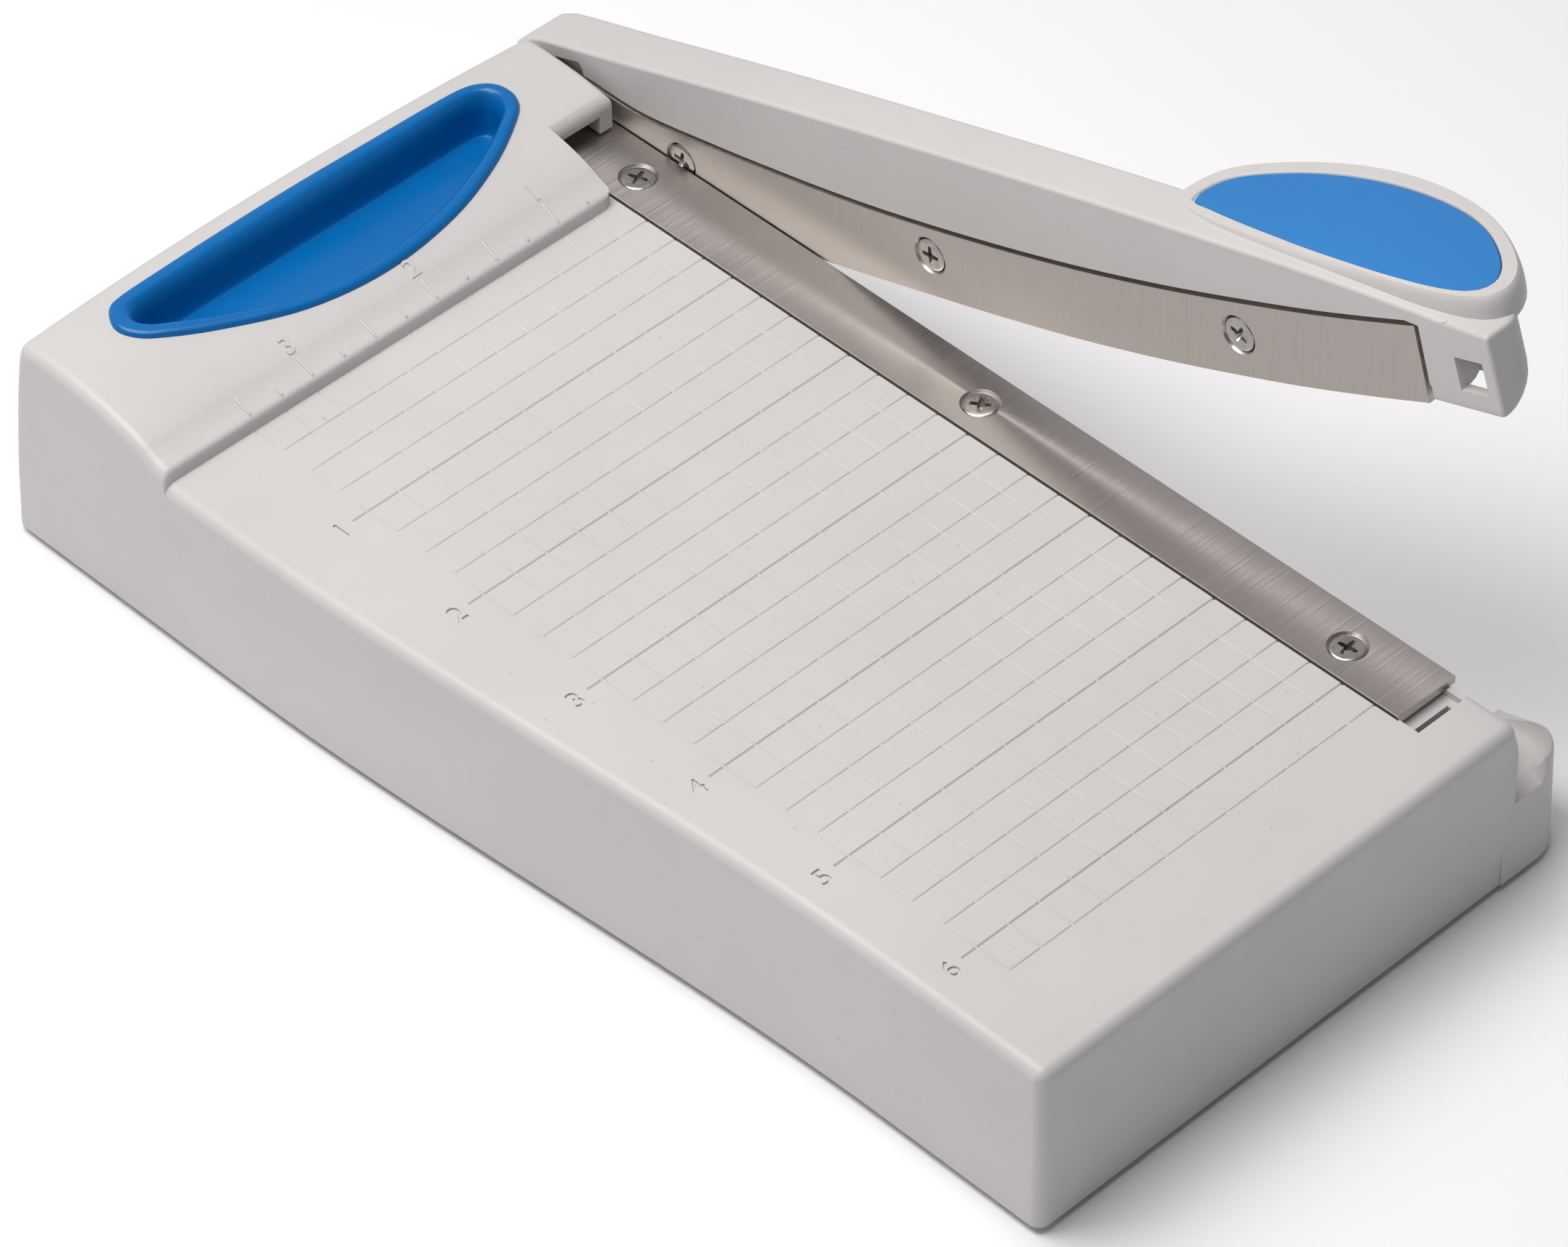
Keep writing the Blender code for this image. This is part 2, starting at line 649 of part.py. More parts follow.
def arm_shell(place, surface):
    arm = add("arm_shell", place, extruded(arm_outline(), "x", ARM_LEFT_X, ARM_RIGHT_X), surface)
    tool = Tools("arm", place)
    tip_corner = box((-2, 14), (TIP_Y - 3, TIP_BLOCK_Y), (-30, 8))
    combine(arm, "DIFFERENCE", tool.solid(tip_corner))
    combine(arm, "UNION", tool.solid(end_block()))
    leaf = smooth(LEAF, 3, closed=True)
    combine(arm, "UNION", tool.solid(leaf_slab(leaf, PAD_THICK, 0)))
    underside = tool.solid(leaf_slab(grown(leaf, -2.2), PAD_THICK + 20, 2.6))
    keep = tool.solid(box((ARM_RIGHT_X - 0.01, 40), (-180, -100), (-40, 20)))
    combine(underside, "INTERSECT", keep)
    combine(arm, "DIFFERENCE", underside)
    combine(arm, "DIFFERENCE", tool.solid(extruded(arm_cavity(), "x", 3.7, 7.6)))
    bosses = [
        tool.solid(turned("x", (0, y, z), [(3.1, 3.0), (3.1, 8.4)], 20)) for y, z in BLADE_SCREWS
    ]
    combine(arm, "UNION", *bosses)
    seat = extruded(grown(blade_outline(), 0.7), "x", -3, BLADE_SEAT_X)
    combine(arm, "DIFFERENCE", tool.solid(seat))
    rear_window = box((-3, BLADE_SEAT_X), (21, 50), (-30, 5.3))
    combine(arm, "DIFFERENCE", tool.solid(rear_window))
    centre = (0, PIVOT_Y, PIVOT_Z)
    bore = turned("x", centre, [(HUB_BORE_R, -2), (HUB_BORE_R, 6.6), (5.3, 6.61), (5.3, 12)], 24)
    combine(arm, "DIFFERENCE", tool.solid(bore))
    for y, z in BLADE_SCREWS:
        pilot = turned("x", (0, y, z), [(PILOT_R, -1), (PILOT_R, 7.6)], 20)
        combine(arm, "DIFFERENCE", tool.solid(pilot))
    half = TIP_HOLE / 2
    hole = box((-2, 12), (TIP_HOLE_Y - half, TIP_HOLE_Y + half), (TIP_HOLE_Z - half, TIP_HOLE_Z + half))
    combine(arm, "DIFFERENCE", tool.solid(hole))
    hollow = box(TIP_HOLLOW_X, TIP_HOLLOW_Y, (-40, TIP_HOLLOW_Z))
    combine(arm, "DIFFERENCE", tool.solid(hollow))
    recess = leaf_slab(smooth(INSERT, 3, closed=True), 1.4, -3)
    combine(arm, "DIFFERENCE", tool.solid(recess))
    return arm


def moving_blade(place, surface):
    low, high = BLADE_LEFT_X, BLADE_LEFT_X + BLADE_THICK
    blade = add("moving_blade", place, extruded(blade_outline(), "x", low, high), surface)
    tool = Tools("moving_blade", place)
    for y, z in BLADE_SCREWS:
        hole = turned("x", (0, y, z), [(3.3, -2), (3.2, low - 0.01), (2.3, low + 1.45), (2.3, 4)], 24)
        combine(blade, "DIFFERENCE", tool.solid(hole))
    bore = turned("x", (0, PIVOT_Y, PIVOT_Z), [(HUB_BORE_R, -2), (HUB_BORE_R, 4)], 24)
    combine(blade, "DIFFERENCE", tool.solid(bore))
    return blade


def moving_blade_screws(place, surface):
    for number, (y, z) in enumerate(BLADE_SCREWS, 1):
        name = f"moving_blade_screw_{number}"
        countersunk_screw(name, place, "x", (0, y, z), BLADE_LEFT_X + 0.2, 1, 7.2, surface)


def grip_insert(place, surface):
    outline = grown(smooth(INSERT, 3, closed=True), -GAP)
    return add("grip_insert", place, leaf_slab(outline, 1.1, 0.1), surface)


# ---------------------------------------------------------------- hinge


def hexagon(radius):
    """Outline (y, z) of a hexagon about the pivot."""
    return circle(PIVOT_Y, PIVOT_Z, radius, 6)


def hinge_pieces(place, steel, brass):
    centre = (0, PIVOT_Y, PIVOT_Z)
    bolt = add("pivot_bolt", place, turned("x", centre, [
        (BOLT_R - 0.4, BOLT_END_X), (BOLT_R, BOLT_END_X + 0.4), (BOLT_R, 6.9),
        (4.6, 6.91), (4.8, 7.4), (4.3, 8.8), (3.6, 9.1),
    ], 24), steel)
    tool = Tools("pivot_bolt", place)
    combine(bolt, "DIFFERENCE", tool.solid(extruded(hexagon(1.75), "x", 7.2, 12)))
    bush = add("pivot_bush", place, turned("x", centre, [
        (3.5, BUSH_END_X), (3.5, SIDE_X + GAP), (6.2, SIDE_X + GAP + 0.01), (6.2, BLADE_LEFT_X - GAP),
    ], 24), brass)
    tool = Tools("pivot_bush", place)
    bore = tool.solid(turned("x", centre, [(HUB_BORE_R, -13), (HUB_BORE_R, 2)], 24))
    combine(bush, "DIFFERENCE", bore)
    for name, (low, high) in (("pivot_washer", WASHER_X), ("pivot_end_washer", END_WASHER_X)):
        washer = add(name, place, turned("x", centre, [(WASHER_R, low), (WASHER_R, high)], 24), steel)
        tool = Tools(name, place)
        hole = tool.solid(turned("x", centre, [(HUB_BORE_R, low - 1), (HUB_BORE_R, high + 1)], 24))
        combine(washer, "DIFFERENCE", hole)
    nut = add("pivot_nut", place, extruded(hexagon(NUT_CORNER_R), "x", *NUT_X), steel)
    tool = Tools("pivot_nut", place)
    hole = tool.solid(turned("x", centre, [(HUB_BORE_R, NUT_X[0] - 1), (HUB_BORE_R, NUT_X[1] + 1)], 24))
    combine(nut, "DIFFERENCE", hole)
    pivot_spring(place, steel)


def pivot_spring(place, surface):
    """Pressure spring between the two washers."""
    low = SPRING_X[0] + SPRING_WIRE_R
    high = SPRING_X[1] - SPRING_WIRE_R
    per_turn = 16
    rings = []
    for i in range(int(SPRING_TURNS * per_turn) + 1):
        angle = 2 * math.pi * i / per_turn
        along = low + (high - low) * i / (SPRING_TURNS * per_turn)
        ring = []
        for k in range(6):
            a = 2 * math.pi * k / 6
            r = SPRING_R + SPRING_WIRE_R * math.cos(a)
            x = along + SPRING_WIRE_R * math.sin(a)
            ring.append((x, PIVOT_Y + r * math.cos(angle), PIVOT_Z + r * math.sin(angle)))
        rings.append(ring)
    return add("pivot_spring", place, lofted(rings), surface)


# ---------------------------------------------------------------- latch


def latch_slide(place, surface):
    half = LATCH_TONGUE / 2
    across = (LATCH_Y - half, LATCH_Y + half)
    tongue = box(LATCH_X, across, (LATCH_Z - half, LATCH_Z + half))
    slide = add("latch_slide", place, tongue, surface)
    tool = Tools("latch", place)
    low = FLOOR_Z + 0.2
    stem = box((LATCH_X[0], LATCH_X[0] + LATCH_STEM), across, (low, LATCH_Z))
    wings = box(LATCH_WING_X, LATCH_WING_Y, (low, low + LATCH_WING_THICK))
    combine(slide, "UNION", tool.solid(stem), tool.solid(wings))
    return slide


def main():
    for obj in list(bpy.data.objects):
        bpy.data.objects.remove(obj)
    housing = material("moulded_grey", (0.60, 0.60, 0.58), 0.5)
    blue = material("tray_blue", (0.0, 0.16, 0.58), 0.3)
    grip = material("grip_blue", (0.05, 0.24, 0.65), 0.6)
    blade = material("blade_steel", (0.55, 0.54, 0.52), 0.3, 1.0)
    zinc = material("screw_nickel", (0.62, 0.60, 0.57), 0.25, 1.0)
    steel = material("hinge_steel", (0.5, 0.5, 0.5), 0.35, 1.0)
    brass = material("bush_brass", (0.75, 0.58, 0.3), 0.35, 1.0)
    dark = material("cover_grey", (0.36, 0.36, 0.35), 0.6)
    rubber = material("foot_rubber", (0.03, 0.03, 0.03), 0.85)
    trimmer = empty("trimmer", (-CENTRE_X, -CENTRE_Y, -FEET_Z))
    base = Place(trimmer, (0, 0, 0))
    hinge = (0, PIVOT_Y, PIVOT_Z)
    lever = Place(empty("arm_hinge", hinge, trimmer, -ARM_RAISED_DEG), hinge)
    base_shell(base, housing)
    storage_tray(base, blue)
    bottom_cover(base, dark)
    cover_screws(base, zinc)
    rubber_feet(base, rubber)
    fixed_blade(base, blade)
    fixed_blade_screws(base, zinc)
    hinge_pieces(base, steel, brass)
    latch_slide(base, dark)
    arm_shell(lever, housing)
    moving_blade(lever, blade)
    moving_blade_screws(lever, zinc)
    grip_insert(lever, grip)
    for obj in bpy.data.objects:
        if obj.type == "MESH":
            obj.data.shade_smooth()
            obj.data.set_sharp_from_angle(angle=math.radians(35))


main()
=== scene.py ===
"""Looks of a small guillotine trimmer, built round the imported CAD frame.

Shapes are drawn in design millimetres: y = 0 is the front of the fence, z = 0 the board, and x = 0 lies
0.65 mm right of the fixed strip's cutting edge. The arm is drawn closed. Everything is then carried into
the row frame from where the CAD puts the fixed strip and the hinge.
"""

import json
import math

import bmesh
import bpy
from mathutils import Matrix, Vector


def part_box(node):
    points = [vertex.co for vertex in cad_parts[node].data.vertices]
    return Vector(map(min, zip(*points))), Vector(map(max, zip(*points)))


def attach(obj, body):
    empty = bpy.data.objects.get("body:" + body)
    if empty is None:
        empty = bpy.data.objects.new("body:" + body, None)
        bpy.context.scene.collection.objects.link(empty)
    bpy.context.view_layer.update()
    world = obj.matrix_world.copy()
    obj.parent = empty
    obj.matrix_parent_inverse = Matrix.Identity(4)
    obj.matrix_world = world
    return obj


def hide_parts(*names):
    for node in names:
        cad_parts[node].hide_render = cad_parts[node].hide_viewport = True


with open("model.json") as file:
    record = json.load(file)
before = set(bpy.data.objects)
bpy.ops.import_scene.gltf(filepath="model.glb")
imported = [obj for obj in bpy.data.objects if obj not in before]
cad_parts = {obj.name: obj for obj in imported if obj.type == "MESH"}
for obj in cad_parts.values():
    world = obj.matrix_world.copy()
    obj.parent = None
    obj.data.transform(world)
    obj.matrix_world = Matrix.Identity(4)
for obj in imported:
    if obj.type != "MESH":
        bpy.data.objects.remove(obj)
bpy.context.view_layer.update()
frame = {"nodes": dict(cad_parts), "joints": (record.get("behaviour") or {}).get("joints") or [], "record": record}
MM = 0.001

# Main dimensions, the same as the CAD's
NEAR_Y = -176.5
FLOOR_Z = -31.3
SIDE_X = -1.5
LEFT_NEAR_X = -100.6
LEFT_FAR_X = -107.1
WALL = 2.4
FENCE_RIGHT_X = -2.0
FAR_BOW = 2.0
STRIP_X = (-13.05, -0.65)
STRIP_NEAR_Y = -163.0
STRIP_FAR_Y = 19.0
STRIP_TOP_Z = 0.15
STRIP_SCREWS = [(-7.2, 2.2), (-7.2, -72.8), (-7.2, -147.8)]
NOTCH_LEFT_X = -14.3
BRIDGE_Y = 13.5
SHELF_Y = -161.3
SHELF_FLOOR_Z = -16.4
SHELF_RIGHT_X = 12.0
SHELF_CORNER_R = 7.5
ARM_LEFT_X = -0.25
ARM_RIGHT_X = 9.4
BLADE_LEFT_X = -0.45
BLADE_THICK = 1.5
BLADE_SEAT_X = 1.35
TIP_Y = -176.0
TIP_BLOCK_Y = -162.2
TIP_BOTTOM_Z = -15.4
TIP_HOLE_Y = -170.9
TIP_HOLE_Z = -9.6
TIP_HOLE = 5.4
HUB_R = 8.6
BLADE_SCREWS = [(-0.6, -8.5), (-56.7, -13.9), (-123.5, -13.1)]
TRAY_FLOOR_Z = 1.0
GRID = 6.35
INCH = 25.4

STRIP_LOW, STRIP_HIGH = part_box("fixed_blade")
ORIGIN = Vector((
    STRIP_HIGH.x - STRIP_X[1] * MM,
    STRIP_LOW.y - STRIP_NEAR_Y * MM,
    STRIP_HIGH.z - STRIP_TOP_Z * MM,
))
HINGE = next(joint for joint in frame["joints"] if joint["name"] == "arm_hinge")
PIVOT = (Vector(HINGE["pos_m"]) - ORIGIN) / MM
TO_ROW = Matrix.Translation(ORIGIN) @ Matrix.Scale(MM, 4)
RAISED = Matrix.Rotation(-math.radians(HINGE["range_deg"][1]), 4, "X")
ARM_TO_ROW = TO_ROW @ Matrix.Translation(PIVOT) @ RAISED @ Matrix.Translation(-PIVOT)

# Side outlines (y, z) of the base and of the closed arm
FENCE_TOP = [
    (-0.05, 0.0), (0.0, 0.15), (0.08, 1.2), (0.2, 1.9), (0.45, 2.3), (0.9, 2.55), (1.7, 2.78), (2.8, 3.1),
    (4.3, 3.8), (5.9, 4.6), (8.8, 5.6), (12.1, 6.4), (18.3, 7.5), (23.0, 7.9), (26.7, 8.05), (29.0, 8.05),
    (30.8, 8.0),
]
# The same for the base's far face, with the direction in which each row's ends are rounded off, in degrees
FAR_FACE = [
    (31.8, 7.85, 72), (32.8, 7.35, 50), (33.5, 6.4, 30), (34.0, 4.9, 14), (34.5, 2.0, 8), (34.8, 0.15, 8),
    (34.83, 0.05, 8), (35.2, -2.2, 7), (35.9, -7.3, 6), (36.5, -12.5, 6), (37.3, -20.7, 5),
    (37.9, FLOOR_Z, 4),
]
BLADE_EDGE = [
    (-161.1, -16.0), (-150, -17.5), (-135, -19.2), (-120, -20.4), (-105, -21.3), (-88, -21.8), (-72, -21.7),
    (-57, -21.3), (-28, -20.1), (0, -17.5), (18, -13.3),
]
BLADE_TOP = [
    (18.5, 2.0), (6.3, -2.1), (-10, -4.55), (-20, -5.8), (-35, -7.4), (-50, -8.5), (-70, -9.2), (-90, -9.25),
    (-110, -8.5), (-130, -7.0), (-145, -5.5), (-161.5, -3.3),
]
ARM_TOP = [
    (35.3, 6.6), (30, 7.7), (24, 7.75), (10, 7.35), (-6.6, 7.05), (-30, 6.5), (-63.5, 5.3), (-90, 4.2),
    (-112, 3.0), (-143, 1.0), (-163, -0.9), (TIP_Y, -2.3),
]
# Plan outlines (x, y)
LEAF = [
    (9.0, -107.6), (17.0, -110.2), (23.6, -121.3), (26.6, -134), (25.8, -147), (21.6, -159.3),
    (14.2, -170.2), (8.0, -174.4), (3.4, -172.6), (1.5, -165), (1.3, -152), (1.9, -133), (3.0, -119),
    (5.4, -110),
]
INSERT = [
    (7.0, -111.8), (13.7, -112.3), (18.6, -118.9), (21.9, -127.8), (23.1, -138), (22.1, -149.2),
    (19.0, -158.8), (13.7, -166.7), (8.7, -170.7), (4.7, -170.1), (2.9, -164.6), (2.6, -154), (3.2, -142),
    (4.3, -128), (5.6, -117.3),
]
TRAY = [
    (-92.4, 28.9), (-89.5, 30.0), (-82, 30.4), (-70, 30.8), (-54, 31.0), (-38, 30.7), (-26, 30.4),
    (-19, 29.9), (-15.6, 28.4), (-13.8, 25.8), (-13.9, 22.4), (-16.6, 19.3), (-26, 14.1), (-38.5, 10.0),
    (-54, 8.3), (-69, 10.0), (-82, 14.8), (-90.5, 19.3), (-93.6, 22.2), (-94.4, 25.4),
]
TRAY_FLOOR = [
    (-88.2, 25.3), (-86.4, 25.7), (-80.5, 25.8), (-69.5, 25.9), (-54, 26.0), (-38.5, 26.1), (-27, 26.3),
    (-21, 26.3), (-18.6, 25.8), (-17.8, 24.8), (-18.0, 23.4), (-20.0, 21.6), (-28, 17.6), (-40, 13.9),
    (-54, 12.5), (-67.5, 14.0), (-79.5, 18.5), (-86.5, 22.3), (-88.4, 23.6), (-89.0, 24.6),
]


# ---------------------------------------------------------------- drawing helpers

ROUND_SIDES = 48


def smooth(points, steps, closed=False):
    """Points read from a Catmull-Rom curve through the given ones."""
    count = len(points)
    curve = []
    for i in range(count if closed else count - 1):
        if closed:
            around = [points[(i + k) % count] for k in (-1, 0, 1, 2)]
        else:
            around = [points[min(max(i + k, 0), count - 1)] for k in (-1, 0, 1, 2)]
        for step in range(steps):
            t = step / steps
            curve.append(tuple(
                0.5 * (2 * b + (c - a) * t
                       + (2 * a - 5 * b + 4 * c - d) * t * t
                       + (3 * b - a - 3 * c + d) * t ** 3)
                for a, b, c, d in zip(*around)
            ))
    if not closed:
        curve.append(tuple(float(v) for v in points[-1]))
    return curve


def area(outline):
    """Signed area, positive for an outline that runs anticlockwise."""
    return 0.5 * sum(a[0] * b[1] - b[0] * a[1] for a, b in zip(outline, outline[1:] + outline[:1]))


def grown(outline, by):
    """A closed outline pushed outwards by a distance, or inwards by a negative one."""
    side = 1 if area(outline) > 0 else -1
    moved = []
    for i, (u, v) in enumerate(outline):
        u0, v0 = outline[i - 1]
        u1, v1 = outline[(i + 1) % len(outline)]
        length = math.hypot(u1 - u0, v1 - v0)
        moved.append((u + side * by * (v1 - v0) / length, v - side * by * (u1 - u0) / length))
    return moved


def between(first, second, share):
    return [tuple(a + (b - a) * share for a, b in zip(p, q)) for p, q in zip(first, second)]


def height(line, y):
    """Height at y of a line of (y, z) points."""
    points = sorted(p[:2] for p in line)
    for (y0, z0), (y1, z1) in zip(points, points[1:]):
        if y <= y1:
            return z0 + (z1 - z0) * (max(y, y0) - y0) / (y1 - y0)
    return points[-1][1]


def arc(u, v, radius, start, stop, count):
    angles = [math.radians(start + (stop - start) * k / count) for k in range(count + 1)]
    return [(u + radius * math.cos(a), v + radius * math.sin(a)) for a in angles]


def put(name, mesh):
    """An object, still in design millimetres, from a bmesh."""
    bmesh.ops.recalc_face_normals(mesh, faces=mesh.faces)
    data = bpy.data.meshes.new(name)
    mesh.to_mesh(data)
    mesh.free()
    made = bpy.data.objects.new(name, data)
    bpy.context.scene.collection.objects.link(made)
    return made


def lofted(rings, mesh=None):
    """A solid skinned over rings of points that match one another, with its two ends capped."""
    mesh = mesh or bmesh.new()
    made = [[mesh.verts.new(point) for point in ring] for ring in rings]
    for lower, upper in zip(made, made[1:]):
        for i in range(len(lower)):
            j = (i + 1) % len(lower)
            mesh.faces.new((lower[i], lower[j], upper[j], upper[i]))
    mesh.faces.new(made[0])
    mesh.faces.new(reversed(made[-1]))
    return mesh


def along(axis, level, u, v):
    """The point at a level along an axis and at (u, v) across it."""
    return {"x": (level, u, v), "y": (u, level, v), "z": (u, v, level)}[axis]


def extruded(outline, axis, low, high):
    return lofted([[along(axis, level, u, v) for u, v in outline] for level in (low, high)])


def rounded(outline, axis, levels):
    """A prism whose outline is inset by an amount at each level: levels lists (level, inset)."""
    return lofted([[along(axis, level, u, v) for u, v in grown(outline, -inset)] for level, inset in levels])


def box(x, y, z):
    return extruded([(x[0], y[0]), (x[1], y[0]), (x[1], y[1]), (x[0], y[1])], "z", *z)


def turned(axis, centre, profile):
    """A round solid about an axis through centre: profile lists (radius, level)."""
    rings = []
    for radius, level in profile:
        ring = [along(axis, level, u, v) for u, v in arc(0, 0, radius, 0, 360, ROUND_SIDES)[:-1]]
        rings.append([tuple(c + p for c, p in zip(centre, point)) for point in ring])
    return lofted(rings)


def settle(piece):
    """Replaces a piece's mesh by what its modifiers make of it."""
    bpy.context.view_layer.update()
    graph = bpy.context.evaluated_depsgraph_get()
    data = bpy.data.meshes.new_from_object(piece.evaluated_get(graph))
    piece.modifiers.clear()
    old = piece.data
    piece.data = data
    bpy.data.meshes.remove(old)


def combine(piece, operation, meshes):
    """One exact Boolean with all the given meshes, which are then gone."""
    group = bpy.data.collections.new("tools")
    tools = []
    for mesh in meshes:
        tool = mesh if isinstance(mesh, bpy.types.Object) else put("tool", mesh)
        group.objects.link(tool)
        tools.append(tool)
    modifier = piece.modifiers.new("combine", "BOOLEAN")
    modifier.operation = operation
    modifier.solver = "EXACT"
    modifier.operand_type = "COLLECTION"
    modifier.collection = group
    settle(piece)
    for tool in tools:
        bpy.data.objects.remove(tool)
    bpy.data.collections.remove(group)


def finished(piece, surface, body, replaced=(), sharp=32):
    """Carries a piece into the row frame, gives it its surface and ties it to its body."""
    piece.data.transform(ARM_TO_ROW if body == "arm" else TO_ROW)
    piece.data.materials.clear()
    piece.data.materials.append(surface)
    piece.data.shade_smooth()
    piece.data.set_sharp_from_angle(angle=math.radians(sharp))
    weigh = piece.modifiers.new("normals", "WEIGHTED_NORMAL")
    weigh.keep_sharp = True
    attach(piece, body)
    if replaced:
        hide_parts(*replaced)
    return piece


def numeral(text, x, y, tall, low, high, heavy):
    """A numeral as a prism that stands on the board, centred on a point and read from the near side."""
    curve = bpy.data.curves.new("numeral", "FONT")
    curve.body = text
    curve.size = tall / 0.7
    curve.align_x = "CENTER"
    curve.resolution_u = 4
    curve.extrude = (high - low) / 2
    curve.offset = heavy
    made = bpy.data.objects.new("numeral", curve)
    bpy.context.scene.collection.objects.link(made)
    bpy.context.view_layer.update()
    data = bpy.data.meshes.new_from_object(made.evaluated_get(bpy.context.evaluated_depsgraph_get()))
    bpy.data.objects.remove(made)
    bpy.data.curves.remove(curve)
    data.transform(Matrix.Translation((x, y - tall / 2, (low + high) / 2)))
    mesh = bmesh.new()
    mesh.from_mesh(data)
    bpy.data.meshes.remove(data)
    bmesh.ops.remove_doubles(mesh, verts=mesh.verts, dist=0.002)
    return mesh


# ---------------------------------------------------------------- surfaces


def fill_ramp(made, stops):
    """Gives a new ramp node its colours: stops lists (position, colour)."""
    made.color_ramp.elements.remove(made.color_ramp.elements[0])
    for i, (at, colour) in enumerate(stops):
        stop = made.color_ramp.elements[0] if i == 0 else made.color_ramp.elements.new(at)
        stop.position = at
        stop.color = (*colour, 1)


class Surface:
    """A node-based material with a few shortcuts."""

    def __init__(self, name, roughness, metallic=0.0, specular=0.5):
        self.made = bpy.data.materials.new(name)
        self.made.use_nodes = True
        self.tree = self.made.node_tree
        self.shader = self.tree.nodes["Principled BSDF"]
        self.shader.inputs["Metallic"].default_value = metallic
        self.shader.inputs["Roughness"].default_value = roughness
        self.shader.inputs["Specular IOR Level"].default_value = specular
        self.place = self.node("ShaderNodeTexCoord").outputs["Object"]

    def node(self, kind, **settings):
        made = self.tree.nodes.new(kind)
        for key, value in settings.items():
            setattr(made, key, value)
        return made

    def link(self, a, b):
        self.tree.links.new(a, b)

    def noise(self, scale, detail=3.0, rough=0.5, stretch=(1, 1, 1), turn=(0, 0, 0)):
        mapping = self.node("ShaderNodeMapping")
        mapping.inputs["Scale"].default_value = stretch
        mapping.inputs["Rotation"].default_value = turn
        texture = self.node("ShaderNodeTexNoise")
        texture.inputs["Scale"].default_value = scale
        texture.inputs["Detail"].default_value = detail
        texture.inputs["Roughness"].default_value = rough
        self.link(self.place, mapping.inputs["Vector"])
        self.link(mapping.outputs["Vector"], texture.inputs["Vector"])
        return texture.outputs["Fac"]

    def ramp(self, value, stops):
        made = self.node("ShaderNodeValToRGB")
        fill_ramp(made, stops)
        self.link(value, made.inputs["Fac"])
        return made.outputs["Color"]

    def levels(self, value, low, high, start=0.3, stop=0.7):
        made = self.node("ShaderNodeMapRange")
        for key, number in (("From Min", start), ("From Max", stop), ("To Min", low), ("To Max", high)):
            made.inputs[key].default_value = number
        self.link(value, made.inputs["Value"])
        return made.outputs["Result"]

    def bump(self, value, strength, distance, under=None):
        made = self.node("ShaderNodeBump")
        made.inputs["Strength"].default_value = strength
        made.inputs["Distance"].default_value = distance
        self.link(value, made.inputs["Height"])
        if under:
            self.link(under, made.inputs["Normal"])
        return made.outputs["Normal"]

    def set(self, socket, value):
        self.link(value, self.shader.inputs[socket])


def moulded(name, colour, roughness, grain=0.06, spread=0.03, specular=0.5):
    """Injection-moulded plastic: a fine spark-eroded grain, soft mottling and a few dark specks."""
    surface = Surface(name, roughness, specular=specular)
    tints = [tuple(min(c * (1 + k * spread), 1) for c in colour) for k in (-1, 0, 1)]
    clouds = surface.ramp(surface.noise(28, 4), [(0.3, tints[0]), (0.5, tints[1]), (0.7, tints[2])])
    specks = surface.noise(900, 1, 0.3)
    mix = surface.node("ShaderNodeMix", data_type="RGBA", blend_type="MIX")
    surface.link(surface.levels(specks, 0.0, 0.35, 0.795, 0.83), mix.inputs["Factor"])
    surface.link(clouds, mix.inputs["A"])
    mix.inputs["B"].default_value = (*[c * 0.45 for c in colour], 1)
    surface.set("Base Color", mix.outputs["Result"])
    surface.set("Roughness", surface.levels(surface.noise(160, 3), roughness - 0.05, roughness + 0.05))
    fine = surface.bump(surface.noise(2600, 2, 0.6), grain, 0.0001)
    surface.set("Normal", surface.bump(surface.noise(40, 2), 0.04, 0.0012, fine))
    return surface.made


def brushed(name, colour, roughness, lines, turn=0.0):
    """Rolled stainless steel ground across its length: fine lines in colour, gloss and relief."""
    surface = Surface(name, roughness, metallic=1.0)
    tints = [tuple(c * k for c in colour) for k in (0.92, 1.0, 1.05)]
    scratches = surface.noise(1, 6, 0.7, stretch=(30, 2200, 30), turn=(turn, 0, 0))
    surface.set("Base Color", surface.ramp(scratches, [(0.25, tints[0]), (0.5, tints[1]), (0.75, tints[2])]))
    surface.set("Roughness", surface.levels(scratches, roughness - 0.07, roughness + 0.09))
    surface.shader.inputs["Anisotropic"].default_value = 0.5
    clouds = surface.bump(surface.noise(60, 3), 0.05, 0.0004)
    surface.set("Normal", surface.bump(scratches, lines, 0.00003, clouds))
    return surface.made


def plated(name, colour, roughness):
    """Nickel-plated steel with faint handling marks."""
    surface = Surface(name, roughness, metallic=1.0)
    marks = surface.noise(500, 5, 0.7)
    tints = [tuple(c * k for c in colour) for k in (0.7, 1.0, 1.05)]
    surface.set("Base Color", surface.ramp(marks, [(0.3, tints[0]), (0.5, tints[1]), (0.7, tints[2])]))
    surface.set("Roughness", surface.levels(marks, roughness - 0.06, roughness + 0.12))
    surface.set("Normal", surface.bump(surface.noise(1400, 3), 0.08, 0.00005))
    return surface.made


